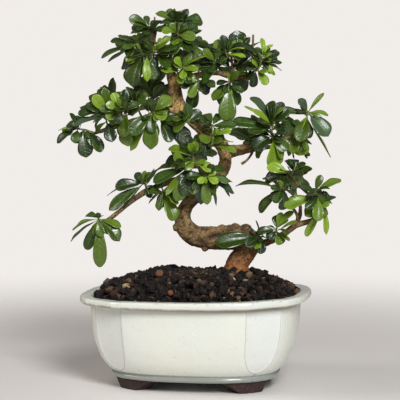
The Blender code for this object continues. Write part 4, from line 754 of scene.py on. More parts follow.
def make_pot(settings):
    sections = pot_sections(settings.ring_points, settings.panel_recess / MM)
    bm = loft([points for points, _ in sections])
    panel = bm.verts.layers.float.new("panel")
    bm.verts.ensure_lookup_table()
    depths = [depth for _, ring in sections for depth in ring]
    for vert, depth in zip(bm.verts, depths):
        vert[panel] = depth
        push = (noise.noise_vector(vert.co / WAVE_LENGTH)
                + RIPPLE_SHARE * noise.noise_vector(vert.co / RIPPLE_LENGTH))
        push.z *= between(vert.co.z, *WAVERING)
        vert.co += RIM_WAVE * push

    def drill(pot):
        for side in (-1, 1):
            hole = bmesh.new()
            bmesh.ops.create_cone(hole, cap_ends=True, segments=48, radius1=DRAIN_RADIUS,
                                  radius2=DRAIN_RADIUS, depth=30,
                                  matrix=Matrix.Translation((side * DRAIN_X, 0, 10)))
            step = pot.modifiers.new("drill", "BOOLEAN")
            step.operation = "DIFFERENCE"
            step.solver = "EXACT"
            step.object = bpy.data.objects.new("drill", mesh_from(hole, "drill"))

    bm = evaluated(bm, "drilled_pot", drill)
    finish_piece("glazed_pot", bm, [glaze(settings)], "glaze", "pot", smooth=40)
    for tool in [o for o in bpy.data.objects if o.name.startswith("drill")]:
        bpy.data.objects.remove(tool)


def glaze(settings):
    """Cream glaze: blue-white where it pools, brown where it draws thin, with specks and pits, and
    painted shade on the bead, in its crease and under the lip.
    """
    made, tree, shader = new_finish("cream_glaze", {"Roughness": 0.2, "Coat Weight": 0.35,
                                                    "Coat Roughness": 0.08, "IOR": 1.5})
    height = arith(tree, "SUBTRACT", own_height(tree), FOOT_DROP * MM)
    panel = attribute(tree, "panel")
    clouds = mottle(tree, 38, 0.35, 0.7)["Mask"]
    colour = tint(tree, settings.glaze, clouds, 0.32, settings.pooled)
    inside_panel = spread(tree, panel, -0.02, 0.5)
    colour = tint(tree, colour, inside_panel, 0.42, settings.pooled)
    # the bead at the bottom is painted a dark grey-green: painted shade where the wall above hangs
    # over it
    bead_shade = spread(tree, height, 0.0135, 0.0112)
    colour = tint(tree, colour, bead_shade, 0.85, (0.19, 0.215, 0.195))
    # the crease where the bead meets the wall and the corner under the lip are darkened as painted
    # shade; the panels' outlines hold a grey line
    crease_shade = arith(tree, "MULTIPLY", spread(tree, height, 0.0116, 0.0124),
                   spread(tree, height, 0.0142, 0.0128))
    under_lip_shade = arith(tree, "MULTIPLY", spread(tree, height, 0.0705, 0.0722),
                      spread(tree, height, 0.0745, 0.0728))
    outline = spread(tree, arith(tree, "ABSOLUTE", arith(tree, "SUBTRACT", panel, 0.05)),
                     OUTLINE, 0.0)
    streak = mottle(tree, 9, 0.3, 0.62)["Mask"]
    # painted shade in the crease and under the lip, then the panels' grey outline
    colour = tint(tree, colour, crease_shade, 0.55, (0.20, 0.24, 0.24))
    colour = tint(tree, colour, under_lip_shade, 0.7, (0.30, 0.28, 0.20))
    colour = tint(tree, colour, outline, 0.8, (0.27, 0.33, 0.35))
    # wear along the lip's outer edge and its inner edge
    lip = arith(tree, "MULTIPLY", spread(tree, height, 0.0772, 0.0792),
                mottle(tree, 4, 0.56, 0.66, 5.0, (1, 1, 3))["Mask"])
    colour = tint(tree, colour, lip, 0.3, settings.bare_clay)
    low_lip = arith(tree, "MULTIPLY",
                    arith(tree, "MULTIPLY", spread(tree, height, 0.0725, 0.0735),
                          spread(tree, height, 0.0752, 0.0742)), streak)
    colour = tint(tree, colour, low_lip, 0.65, settings.bare_clay)
    specks = mottle(tree, 1.5, 0.715, 0.75, 2.0)["Mask"]
    colour = tint(tree, colour, specks, 0.75, settings.bare_clay)
    freckles = mottle(tree, 3.4, 0.70, 0.76, 2.0)["Mask"]
    colour = tint(tree, colour, freckles, 0.3, (0.36, 0.30, 0.2))
    roughness = ranged(tree, mottle(tree, 14)["Mask"], 0.14, 0.3)
    ripple = arith(tree, "SUBTRACT", mottle(tree, 16, detail=2.0)["Height"],
                   arith(tree, "MULTIPLY", specks, 0.5))
    dress(tree, shader, colour, roughness, ripple, 0.16)
    return made


def make_feet(settings):
    """Clay pads that follow the pot's corners, cut to a slight arch at their ends."""
    finish = foot_clay(settings)
    for end, side_y in (("front", -1), ("back", 1)):
        for hand, side_x in (("left", -1), ("right", 1)):
            rings = []
            for height, half_width, start, stop, inner in smooth_line(FOOT_RINGS, FOOT_STEP):
                half_depth = half_width - SLIMNESS
                angles = [math.radians(start + (stop - start) * step / (FOOT_POINTS - 1))
                          for step in range(FOOT_POINTS)]
                ring = [plan_point(half_width, half_depth, a) for a in angles]
                ring += [plan_point(half_width * inner, half_depth * inner, a)
                         for a in reversed(angles)]
                ring = [Vector((p.x * side_x, p.y * side_y, height)) for p in ring]
                rings.append(ring if side_x * side_y > 0 else ring[::-1])
            bm = loft(rings)
            for vert in bm.verts:
                if FOOT_FLAT - FOOT_DROP < vert.co.z < FOOT_HEIGHT - FOOT_FLAT:
                    vert.co += noise.noise_vector(vert.co / FOOT_GRAIN) * FOOT_ROUGHNESS
            name = f"foot_{end}_{hand}"
            finish_piece("clay_" + name, bm, [finish], "foot_clay", name, smooth=50)


def foot_clay(settings):
    """Unglazed reddish-brown clay, gritty and a little dusty, darkened as painted shade for the
    shadow under the pot.
    """
    made, tree, shader = new_finish("unglazed_clay", {"Roughness": 0.88})
    dark = [c * 0.6 for c in settings.foot_clay]
    colour = mix(tree, mottle(tree, 5)["Mask"], dark, settings.foot_clay)
    grit = mottle(tree, 0.9, 0.6, 0.72)["Mask"]
    colour = tint(tree, colour, grit, 0.45, (0.26, 0.17, 0.12))
    dress(tree, shader, colour, None, mottle(tree, 0.8)["Height"], 0.5)
    return made


def dress_drainage():
    """The hidden screens and wires keep their shape and get their own finishes."""
    made, tree, shader = new_finish("screen_plastic", {"Roughness": 0.55})
    dress(tree, shader, mix(tree, mottle(tree, 4)["Mask"], (0.02, 0.035, 0.02),
                            (0.045, 0.06, 0.035)), None, mottle(tree, 1.2)["Height"], 0.05)
    wire, wire_tree, wire_shader = new_finish("screen_wire", {"Metallic": 1.0})
    dress(wire_tree, wire_shader,
          mix(wire_tree, mottle(wire_tree, 3)["Mask"], (0.62, 0.62, 0.63), (0.78, 0.77, 0.75)),
          ranged(wire_tree, mottle(wire_tree, 2)["Mask"], 0.3, 0.5))
    for hand in ("left", "right"):
        for node, finish in ((f"drain_screen_{hand}", made), (f"screen_wire_{hand}", wire)):
            wear(node, finish)


def wear(node, finish):
    """Give a fixed node its finish."""
    mesh = frame["nodes"][node].data
    mesh.materials.clear()
    mesh.materials.append(finish)


# --- soil ----------------------------------------------------------------------------------------
GRAIN_SEED = 11
BATCH = 60
CLUMP = (22.5, 101.0, 3.0)    # crumbs heaped against the trunk's foot, on the elevation
CLUMP_RADIUS, CLUMP_HEIGHT = 13.0, 6.5
CLUMP_TRIES = 12000
CRUMB_SIZES, PELLET_SIZES, PUMICE_SIZES = (0.7, 4.4), (1.1, 2.6), (0.7, 1.9)
STEEPEST = 0.15               # nothing lies where the ground's normal rises less than this
SINK_MARGIN = 0.2             # loose soil stays this far under an opening
TRUNK_CLEAR = 9.5             # no grains this near the trunk's foot


def ground_tree():
    return BVHTree.FromPolygons(*node_points("soil"))


def drop_places(ground, count, seed):
    """Places on the soil: point, slope and a generator for whatever lies there."""
    low, high = node_box("soil")
    foot = place(*TRUNK[2][:3])
    found = []
    number = 0
    while len(found) < count:
        pick = random.Random(seed * 100000 + number)
        number += 1
        x, y = pick.uniform(low.x, high.x), pick.uniform(low.y, high.y)
        if (x - foot.x) ** 2 + (y - foot.y) ** 2 < TRUNK_CLEAR ** 2:
            continue
        point, normal = ground.ray_cast(Vector((x, y, 2 * RIM_HEIGHT)), -UP)[:2]
        if point is not None and normal.z > STEEPEST:
            found.append((point, normal, pick))
    return found


def turned(pick):
    """Any way round."""
    return Matrix.Rotation(pick.uniform(0, math.tau), 4,
                           Vector([pick.uniform(-1, 1) for _ in range(3)]).normalized())


def in_batches(places, add_one):
    """A mesh with one shape for each place, built a few at a time, which is much faster."""
    whole = bmesh.new()
    for first in range(0, len(places), BATCH):
        bm = bmesh.new()
        shade = bm.verts.layers.float.new("shade")
        for point, normal, pick in places[first:first + BATCH]:
            known = len(bm.verts)
            add_one(bm, point, normal, pick)
            bm.verts.ensure_lookup_table()
            light = pick.random()
            for vert in bm.verts[known:]:
                vert[shade] = light
        mesh = mesh_from(bm, "batch")
        whole.from_mesh(mesh)
        bpy.data.meshes.remove(mesh)
    return whole


def open_boxes():
    """The frame's openings, in the pot's frame."""
    return [[Vector(corner) / MM - PLACE for corner in opening["box_m"]]
            for opening in frame["record"]["physics"]["openings"]]


def within(point, low, high, margin):
    return all(a - margin < p < b + margin for a, p, b in zip(low, point, high))


def sink(verts, openings):
    """Lower a loose lump that stands in an opening until it lies under the opening's floor."""
    for low, high in openings:
        tops = [vert.co.z for vert in verts if within(vert.co, low, high, SINK_MARGIN)]
        if tops:
            drop = max(tops) - low.z + SINK_MARGIN
            for vert in verts:
                vert.co.z -= drop


def grain_heap(places, sizes, flatness, ragged, lift, detail=1):
    """An uneven lump at each place; its shade says how light it is."""
    openings = open_boxes()

    def add_lump(bm, point, normal, pick):
        radius = sizes[0] + (sizes[1] - sizes[0]) * pick.random() ** 2.6
        shape = turned(pick) @ Matrix.Diagonal((1, pick.uniform(0.7, 1), flatness, 1))
        middle = point + normal * radius * pick.uniform(*lift)
        lump = bmesh.ops.create_icosphere(bm, subdivisions=detail, radius=radius,
                                          matrix=Matrix.Translation(middle) @ shape)["verts"]
        for vert in lump:
            vert.co = middle + (vert.co - middle) * pick.uniform(1 - ragged, 1 + ragged)
        sink(lump, openings)

    return in_batches(places, add_lump)


def clump_places(ground):
    """Places for the crumbs heaped against the trunk's foot, highest in the middle."""
    middle = place(*CLUMP)
    heaped = []
    for point, normal, pick in drop_places(ground, CLUMP_TRIES, GRAIN_SEED + 4):
        nearness = 1 - (point - middle).xy.length / CLUMP_RADIUS
        if nearness > 0:
            rise = CLUMP_HEIGHT * nearness * pick.uniform(0.2, 1.0)
            heaped.append((point + UP * rise, normal, pick))
    return heaped


def make_soil(settings):
    ground = ground_tree()
    wear("soil", soil_finish("soil_bed", settings.dark))
    scattered = drop_places(ground, settings.crumbs, GRAIN_SEED) + clump_places(ground)
    crumbs = grain_heap(scattered, CRUMB_SIZES, 0.65, 0.5, (-0.3, 1.4))
    finish_piece("soil_crumbs", crumbs, [crumb_finish(settings)], "soil")
    clay = grain_heap(drop_places(ground, settings.pellets, GRAIN_SEED + 1), PELLET_SIZES, 0.9,
                      0.1, (0.1, 0.6), detail=2)
    finish_piece("clay_grains", clay, [grain_finish("fired_clay", settings.clay)],
                 "clay_pellet", smooth=60)
    pumice = grain_heap(drop_places(ground, settings.pumice, GRAIN_SEED + 2), PUMICE_SIZES, 0.8,
                        0.25, (0.1, 0.6))
    finish_piece("pumice_grains", pumice, [grain_finish("pumice", settings.pale)], "pumice")
    make_fibres(ground, settings)
    make_large_grains(settings)


def make_fibres(ground, settings):
    """Slivers of bark that lie across the crumbs, some with an end in the air."""
    openings = open_boxes()

    def add_sliver(bm, point, normal, pick):
        length = pick.uniform(4, 11)
        way = Vector((pick.uniform(-1, 1), pick.uniform(-1, 1), 0))
        way = (way - normal * way.dot(normal)).normalized()
        way = (way + normal * pick.uniform(-0.05, 0.35)).normalized()
        bend = normal * pick.uniform(0.2, 1.6)
        half = pick.uniform(0.3, 0.7)
        start = point + normal * 1.2 - way * length / 2
        rows = [(start, half * 0.5), (start + way * length * 0.35 + bend, half),
                (start + way * length * 0.7 + bend * 0.8, half * 0.9),
                (start + way * length, half * 0.35)]
        before = len(bm.verts)
        loft(tube([p for p, _ in rows], [r for _, r in rows], 5), bm)
        sink(list(bm.verts)[before:], openings)

    slivers = in_batches(drop_places(ground, settings.fibres, GRAIN_SEED + 3), add_sliver)
    finish_piece("bark_fibres", slivers, [fibre_finish()], "soil")


def make_large_grains(settings):
    """The four largest grains, each where the frame has it."""
    looks = (("clay_pellet_1", "fired_clay"), ("clay_pellet_2", "fired_clay"),
             ("pumice_grain_1", "pumice"), ("pumice_grain_2", "pumice"))
    for number, (node, finish) in enumerate(looks):
        low, high = node_box(node)
        middle, half = (low + high) / 2, (high - low) / 2
        bm = bmesh.new()
        bmesh.ops.create_icosphere(bm, subdivisions=4, radius=0.96)
        for vert in bm.verts:
            dent = noise.fractal(vert.co * 1.6 + Vector((number * 7, 0, 0)), 0.7, 2.1, 4)
            vert.co *= 1 + 0.1 * dent
            vert.co = middle + Vector([a * b for a, b in zip(vert.co, half)])
        slot = "clay_pellet" if finish == "fired_clay" else "pumice"
        finish_piece("large_" + node, bm, [bpy.data.materials[finish]], slot, node, smooth=80)


def soil_finish(name, dark):
    made, tree, shader = new_finish(name, {"Roughness": 0.95})
    colour = mix(tree, mottle(tree, 2.4)["Mask"], [c * 0.6 for c in dark], (0.012, 0.008, 0.006))
    dress(tree, shader, colour, None, mottle(tree, 1.6)["Height"], 1.2)
    return made


def crumb_finish(settings):
    """Wet black peat, brown bark and a few grey or reddish crumbs, by each crumb's shade."""
    made, tree, shader = new_finish("peat_and_bark", {"Specular IOR Level": 0.35})
    shade = attribute(tree, "shade")
    ramp = add(tree, "ValToRGB", {"Fac": shade})
    stops = ((0.0, settings.dark), (0.62, (0.008, 0.005, 0.004)), (0.79, (0.022, 0.011, 0.007)),
             (0.91, (0.075, 0.032, 0.020)), (0.97, (0.20, 0.12, 0.06)), (1.0, (0.46, 0.35, 0.2)))
    while len(ramp.color_ramp.elements) < len(stops):
        ramp.color_ramp.elements.new(0.5)
    for element, (position, colour) in zip(ramp.color_ramp.elements, stops):
        element.position = position
        element.color = (*colour, 1.0)
    patches = mottle(tree, 0.9, 0.42, 0.66)["Mask"]
    colour = tint(tree, ramp.outputs["Color"], patches, 0.4, (0.010, 0.006, 0.004))
    roughness = ranged(tree, patches, 0.3, 0.9)
    dress(tree, shader, colour, roughness, mottle(tree, 0.9)["Height"], 1.3)
    return made


def grain_finish(name, base):
    """Dry, porous grain with darker pits."""
    made, tree, shader = new_finish(name, {"Roughness": 0.92})
    shade = attribute(tree, "shade")
    colour = mix(tree, shade, base, [c * 0.45 for c in base])
    pits = mottle(tree, 0.8, 0.5, 0.66)["Mask"]
    colour = tint(tree, colour, pits, 0.65, [c * 0.3 for c in base])
    dress(tree, shader, colour, None, mottle(tree, 0.6)["Height"], 0.6)
    return made


def fibre_finish():
    made, tree, shader = new_finish("bark_fibre", {"Roughness": 0.8})
    colour = mix(tree, attribute(tree, "shade"), (0.022, 0.011, 0.008), (0.16, 0.085, 0.048))
    colour = tint(tree, colour, mottle(tree, 1.2)["Mask"], 0.5, (0.012, 0.008, 0.006))
    dress(tree, shader, colour, None, mottle(tree, 0.5)["Height"], 0.4)
    return made


# --- the tree's lines ----------------------------------------------------------------------------
def place(u, v, front):
    """The point, in the pot's frame, that the elevation shows at (u, v)."""
    c, s = math.cos(EYE_TILT), math.sin(EYE_TILT)
    up = (v - EYE_AIM_V) * ELEVATION_SQUASH
    back = -front
    height = (up * (1 + back * c / EYE_DISTANCE) - back * s) / (c + up * s / EYE_DISTANCE)
    scale = 1 + (back * c - height * s) / EYE_DISTANCE
    x = EYE_AIM_U + (u - EYE_AIM_U) * scale
    point = Vector((x, back, EYE_AIM_V + height))
    point.rotate(Matrix.Rotation(TREE_TURN, 3, "Z"))
    return point


def wood_lines():
    """Every woody line as points and radii, trunk first."""
    lines = {"trunk": TRUNK, **BRANCHES}
    return {name: [(place(u, v, f), r) for u, v, f, r in line] for name, line in lines.items()}


def nearest_wood(point, lines):
    """Closest place on the wood's middle line, with the wood's radius there."""
    best = None
    for line in lines.values():
        for (a, ra), (b, rb) in zip(line, line[1:]):
            share = max(0.0, min(1.0, (point - a).dot(b - a) / (b - a).length_squared))
            foot = a.lerp(b, share)
            radius = ra + (rb - ra) * share
            distance = (point - foot).length - radius
            if best is None or distance < best[0]:
                best = (distance, foot, radius)
    return best[1], best[2]


def stem_line(points, lines):
    """The stem's middle line, from just off the wood to its tip."""
    given = [place(*p) for p in points]
    foot, radius = nearest_wood(given[0], lines)
    out = (given[0] - foot).normalized()
    start = foot + out * (radius + STEM_START_GAP)
    lift = min(STEM_LIFT, (given[0] - start).length / 2)
    return [start, start + out * lift] + given


def along_line(line, share):
    """Point and direction at a share of a line's length."""
    lengths = [(b - a).length for a, b in zip(line, line[1:])]
    left = share * sum(lengths)
    for (a, b), length in zip(zip(line, line[1:]), lengths):
        if left <= length:
            break
        left -= length
    else:
        left = length
    way = (b - a).normalized()
    return a + way * left, way


# --- wood ----------------------------------------------------------------------------------------
WOOD_STEP = 1.4
LIMB_SIDES = 14
THICK = 1.9                   # limbs that start thinner than this are twigs
RIDGE_LENGTH, RIDGE_WIDTH = 4.5, 2.5
RIDGE_DEPTH = 0.065           # of the wood's radius
KNOT_SIZE, KNOT_RISE = 9.5, 0.17
LUMP_SIZE, LUMP_RISE = 14.0, 0.15
LOG_RADIUS = 6                # only wood thicker than this holds the hollow
HOLLOW = (15.5, 129.8, 11.5)  # the dark hollow on the low trunk, on the elevation
HOLLOW_TIP = (23.0, 132.3, 9.5)
HOLLOW_HALF_WIDTH = 2.1
HOLLOW_DEPTH = 2.5
HOLLOW_RIM = 0.5              # how far the wood stands up round the hollow
RIM_DISTANCE, RIM_WIDTH = 2.3, 1.2
RED_LOW, RED_HIGH = 124.0, 104.0


def wood_field(lines):
    """For any point: how far along its limb, the way out of the limb, and the limb's radius."""
    starts, ends, radii, along = [], [], [], []
    for line in lines.values():
        travelled = 0.0
        for (a, ra), (b, rb) in zip(line, line[1:]):
            starts.append(a)
            ends.append(b)
            radii.append((ra, rb))
            along.append(travelled)
            travelled += (b - a).length
    starts, ends, radii, along = (np.array(rows, dtype=float)
                                  for rows in (starts, ends, radii, along))
    runs = ends - starts
    squares = (runs ** 2).sum(1)
    lengths = np.sqrt(squares)

    def look(points):
        given = np.array(points, dtype=float)[:, None, :]
        share = np.clip(((given - starts) * runs).sum(2) / squares, 0, 1)
        feet = starts + runs * share[..., None]
        radius = radii[:, 0] + (radii[:, 1] - radii[:, 0]) * share
        outward = given - feet
        best = (np.sqrt((outward ** 2).sum(2)) - radius).argmin(1)
        rows = np.arange(len(best))
        return (along[best] + lengths[best] * share[rows, best], outward[rows, best],
                radius[rows, best])

    return look


def make_wood(settings):
    lines = wood_lines()
    limbs = bmesh.new()
    twigs = bmesh.new()
    for name, line in lines.items():
        thick = line[0][1] >= THICK
        smooth_tube(line, WOOD_STEP, LIMB_SIDES if thick else STEM_SIDES,
                    limbs if thick else twigs)

    def join(limb):
        step = limb.modifiers.new("join", "REMESH")
        step.mode = "VOXEL"
        step.voxel_size = settings.fineness / MM

    bm = evaluated(limbs, "limbs", join)
    for _ in range(2):
        bmesh.ops.smooth_vert(bm, verts=bm.verts, factor=0.5, use_axis_x=True, use_axis_y=True,
                              use_axis_z=True)
    carve_bark(bm, lines)
    carve_bark(twigs, lines)
    finish = bark(settings)
    finish_piece("trunk_and_limbs", bm, [finish], "bark", "trunk_and_branches", smooth=75)
    finish_piece("thin_twigs", twigs, [finish], "bark", smooth=75)


def carve_bark(bm, lines):
    """Ridges along the grain, knots, the low trunk's hollow, the shades that go with them, and how
    far each point faces down for painted shade.
    """
    layers = {name: bm.verts.layers.float.new(name)
              for name in ("ridge", "hollow", "red", "young", "under")}
    bm.normal_update()
    along, outward, radii = wood_field(lines)([v.co for v in bm.verts])
    middle, tip = place(*HOLLOW), place(*HOLLOW_TIP)
    grain = tip - middle
    grain -= TREE_FRONT * grain.dot(TREE_FRONT)
    half_length = grain.length
    grain.normalize()
    skew = Vector((0.62, 0.35, 0.70)).normalized()
    for vert, run, out, radius in zip(bm.verts, along, outward, radii):
        at = vert.co.copy()
        spot = Vector(out) / RIDGE_WIDTH + skew * (run / RIDGE_LENGTH)
        ridge = noise.fractal(spot, 0.8, 2.0, 3)
        knot = noise.noise(at / KNOT_SIZE + Vector((3.1, 7.7, 1.3)))
        lump = noise.noise(at / LUMP_SIZE)
        off = at - middle
        facing = between(vert.normal.dot(TREE_FRONT), 0.1, 0.5)
        off -= TREE_FRONT * off.dot(TREE_FRONT)
        lengthways = off.dot(grain)
        across = (off - grain * lengthways).length
        cut = math.exp(-(lengthways / half_length) ** 4 - (across / HOLLOW_HALF_WIDTH) ** 2 / 2)
        cut *= facing * (radius > LOG_RADIUS)
        rim = math.exp(-(lengthways / half_length) ** 4
                       - ((across - RIM_DISTANCE * HOLLOW_HALF_WIDTH) / RIM_WIDTH) ** 2)
        bump = ridge * RIDGE_DEPTH * radius + LUMP_RISE * radius * lump
        bump += KNOT_RISE * radius * between(knot, 0.22, 0.7)
        bump += HOLLOW_RIM * rim * (radius > LOG_RADIUS) - HOLLOW_DEPTH * cut
        vert.co += vert.normal * bump
        vert[layers["ridge"]] = ridge
        vert[layers["hollow"]] = max(cut, between(-knot, 0.36, 0.62) * 0.7)
        vert[layers["red"]] = between(-at.z, -RED_LOW, -RED_HIGH) * (radius > 5.5)
        vert[layers["young"]] = between(-radius, -3.4, -1.4)
        # how far a point faces down, for the painted shade on the undersides
        vert[layers["under"]] = between(-vert.normal.z, 0.05, 0.8)


def bark(settings):
    """Tan bark with dark cracks and patches, reddish and rougher by the soil, with painted shade
    on the undersides and in the hollow and painted light on the ridges and upper trunk.
    """
    made, tree, shader = new_finish("bark", {"Roughness": 0.86})
    ridge = attribute(tree, "ridge")
    colour = mix(tree, spread(tree, ridge, -1.25, 0.1), settings.dark, settings.tan)
    # pale on the ridges: partly worn bark, partly a painted highlight on the raised crests
    worn_and_lit = arith(tree, "MULTIPLY", spread(tree, ridge, 0.15, 0.9),
                 mottle(tree, 7, 0.38, 0.66)["Mask"])
    colour = tint(tree, colour, worn_and_lit, 0.9, settings.pale)
    olive = mottle(tree, 15, 0.46, 0.68)["Mask"]
    colour = tint(tree, colour, olive, 0.4, (0.20, 0.165, 0.05))
    # the upper trunk is painted golden: partly younger bark, partly painted light
    rise = own_height(tree)
    golden = arith(tree, "MULTIPLY", spread(tree, rise, 0.185, 0.215),
                   spread(tree, attribute(tree, "young"), 0.7, 0.1))
    colour = tint(tree, colour, golden, 0.75, (0.72, 0.46, 0.16))
    shadow = mottle(tree, 9, 0.47, 0.61, 4.0)["Mask"]
    colour = tint(tree, colour, shadow, 0.72, (0.085, 0.038, 0.018))
    # painted shade: darker on the sides that face down
    colour = tint(tree, colour, attribute(tree, "under"), 0.6, (0.075, 0.035, 0.018))
    colour = tint(tree, colour, attribute(tree, "young"), 0.45, (0.20, 0.12, 0.06))
    red = arith(tree, "MULTIPLY", attribute(tree, "red"),
                mottle(tree, 3, 0.28, 0.52)["Mask"])
    colour = tint(tree, colour, red, 0.9, settings.red)
    spots = mottle(tree, 3.6, 0.58, 0.66, 2.0)["Mask"]
    colour = tint(tree, colour, spots, 0.75, settings.dark)
    flecks = mottle(tree, 1.5, 0.53, 0.66, 4.0)["Mask"]
    colour = tint(tree, colour, flecks, 0.8, settings.dark)
    # the hollow is painted near-black as painted shade inside the cut; the dark spots where knots
    # dip are the bark's own
    colour = tint(tree, colour, attribute(tree, "hollow"), 0.95, (0.030, 0.008, 0.006))
    fine = arith(tree, "ADD", mottle(tree, 1.1, detail=4.0)["Height"],
                 arith(tree, "MULTIPLY", flecks, -0.5))
    dress(tree, shader, colour, None, fine, 0.9)
    return made


# --- leaves and stems ----------------------------------------------------------------------------
def spiral_leaves(index, line, count, lengths):
    """Leaves that climb the stem at the golden angle: place on the stem, tip and width."""
    leaves = []
    for number in range(count):
        pick = random.Random(1000 * index + number)
        share = 0.35 + 0.65 * number / max(count - 1, 1)
        base, way = along_line(line, share)
        aside = way.orthogonal().normalized()
        aside.rotate(Matrix.Rotation(GOLDEN_ANGLE * number + index, 3, way))
        opening = math.radians(pick.uniform(38, 82))
        length = pick.uniform(*lengths)
        heading = way * math.cos(opening) + aside * math.sin(opening)
        leaves.append((share, base + heading * length, length * pick.uniform(0.36, 0.46)))
    return leaves


def leaves_of(index, name, line):
    """Every leaf that the fixed shoot has: base, tip, width, youth and painted sheen."""
    _, placed, count = SHOOTS[name]
    corners = node_points(name)[0]
    known = KDTree(len(corners))
    for number, corner in enumerate(corners):
        known.insert(corner, number)
    known.balance()

    def first_grown(tips):
        for tip in tips:
            if known.find(tip)[2] < TIP_MATCH:
                return tip
        return None

    youth = YOUNG.get(name, {})
    found = []
    for share, u, v, front, width in placed:
        tip = first_grown([place(u + du, v + dv, front + df) for du, dv, df in NUDGES])
        if tip is not None:
            found.append((along_line(line, share)[0], tip, width, youth.get((u, v), 0.0),
                          (u, v) in PAINTED_SHEEN_TIPS))
    lengths = FILLING_LENGTH if placed else SPIRAL_LENGTH
    for share, end, width in spiral_leaves(index, line, count, lengths):
        base = along_line(line, share)[0]
        tip = first_grown([base + (end - base) * short for short in SHORTENED])
        if tip is not None:
            found.append((base, tip, width, 0.25 if share > 0.9 else 0.0, False))
    return found


def companions(index, name, leaves, openings):
    """Smaller leaves beside a shoot's own: inside the shoot's box, and out of every opening."""
    low, high = node_box(name)
    grown = []
    for number, (base, tip, width, youth, _) in enumerate(leaves):
        pick = random.Random(9000 + 100 * index + number)
        for _ in range(COMPANION_TRIES):
            way = tip - base
            root = base + way * pick.uniform(-0.04, 0.06)
            axis = (TREE_FRONT + UP * pick.uniform(-0.6, 0.6)).normalized()
            angle = pick.choice((-1, 1)) * math.radians(pick.uniform(*COMPANION_TURN))
            way = Matrix.Rotation(angle, 3, axis) @ way * pick.uniform(*COMPANION_SIZE)
            broad = min(width, way.length * COMPANION_BREADTH)
            aside = way.cross(UP).normalized() * broad / 2
            spots = [root + way * share + aside * hand for share in (0.35, 0.6, 0.8, 1.0)
                     for hand in (-1, 0, 1)]
            if not all(within(spot, low, high, 0.0) for spot in spots):
                continue
            if any(within(spot, *box, OPENING_MARGIN) for spot in spots for box in openings):
                continue
            fresh = pick.uniform(0.45, 0.95) if pick.random() < FRESH_SHARE else youth * 0.7
            grown.append((root, root + way, broad, fresh, False))
            break
    return grown


def leaf_facing(base, pick):
    """Which way a leaf turns its upper side: to the light above, and away from the tree."""
    trunk = place(-8, base.z, 0)
    outward = base - trunk
    outward.z = 0
    outward = outward.normalized() if outward.length > 4 else TREE_FRONT
    depth = base.dot(TREE_FRONT)
    towards = TREE_FRONT * 0.75 + outward * 0.2 if depth > -14 else outward
    stray = Vector([pick.uniform(-0.28, 0.28) for _ in range(3)])
    return (towards * 0.7 + UP * 0.74 + stray).normalized()


def grow_blade(bm, layers, base, tip, width, youth, has_sheen, pick):
    """One leaf: a narrow stalk and a blade, widest past its middle, folded along its midrib."""
    way = (tip - base).normalized()
    length = (tip - base).length
    facing = leaf_facing(base, pick)
    top = (facing - way * facing.dot(way)).normalized()
    top.rotate(Matrix.Rotation(math.radians(pick.uniform(-LEAF_ROLL, LEAF_ROLL)), 3, way))
    side = way.cross(top)
    fold = math.tan(math.radians(pick.uniform(*LEAF_FOLD)))
    arch = pick.uniform(0.0, 0.085) * length
    wave, phase = pick.uniform(0.0, 0.09) * width, pick.uniform(0, math.tau)
    twist = pick.uniform(-0.28, 0.28)
    lobes = pick.uniform(0.0, 0.02) * length
    bow = pick.uniform(-0.01, 0.05)
    shade = pick.uniform(-1, 1)
    grid = bmesh.ops.create_grid(bm, x_segments=LEAF_COLUMNS, y_segments=LEAF_ROWS, size=0.5)
    for vert in grid["verts"]:
        across = 2 * vert.co.x
        share = 1 - (0.5 - vert.co.y) ** 1.6
        blade = max(0.0, (share - STALK_SHARE) / (1 - STALK_SHARE))
        t = blade * BLADE_END
        half = max(STALK_HALF_WIDTH,
                   width / 2 * BREADTH * t ** 0.62 * (1 - t ** 3.2) ** 0.5 / BLADE_PEAK)
        end = between(share, 0.62, 1.0)
        lengthways = length * share - end * (bow * length * across ** 2
                                             + lobes * (1 - math.cos(across * 3 * math.pi)) / 4)
        sideways = across * half
        lifted = (fold * abs(sideways) * between(blade, 0.0, 0.3) * (1 - 0.5 * end)
                  + arch * 4 * share * (1 - share)
                  + wave * across ** 2 * math.sin(share * 13 + phase) * blade
                  + twist * sideways * blade)
        vert.co = base + way * lengthways + side * sideways + top * lifted
        for layer, value in zip(layers, (across, share, youth, shade, float(has_sheen))):
            vert[layer] = value


def make_leaves(settings):
    lines = wood_lines()
    finishes = [leaf_top(settings), leaf_back(settings)]
    stems = bmesh.new()
    openings = open_boxes()
    for index, (name, (points, _, _)) in enumerate(SHOOTS.items()):
        line = stem_line(points, lines)
        grow_stem(stems, line)
        bm = bmesh.new()
        layers = [bm.verts.layers.float.new(label)
                  for label in ("across", "along", "youth", "shade", "painted_sheen")]
        leaves = leaves_of(index, name, line)
        leaves += companions(index, name, leaves, openings)
        for number, leaf in enumerate(leaves):
            grow_blade(bm, layers, *leaf, random.Random(5000 + 100 * index + number))
        made = finish_piece(name.replace("shoot_", "leaves_"), bm, finishes, "leaf", name,
                            smooth=180)
        shell = made.modifiers.new("thickness", "SOLIDIFY")
        shell.thickness = settings.thickness
        shell.offset = -1
        shell.material_offset = 1
        shell.material_offset_rim = 1
    finish_piece("green_stems", stems, [stem_finish(settings)], "leaf", smooth=60)


def grow_stem(bm, line):
    """A green stem, set into its branch and thinner towards its tip."""
    root = line[0] - (line[1] - line[0]).normalized() * (STEM_ROOT + STEM_START_GAP)
    points = [root] + line
    travelled = [0.0]
    for a, b in zip(points, points[1:]):
        travelled.append(travelled[-1] + (b - a).length)
    smooth_tube([(p, STEM_RADIUS * (1 - 0.4 * run / travelled[-1]))
                 for p, run in zip(points, travelled)], 1.2, STEM_SIDES, bm)


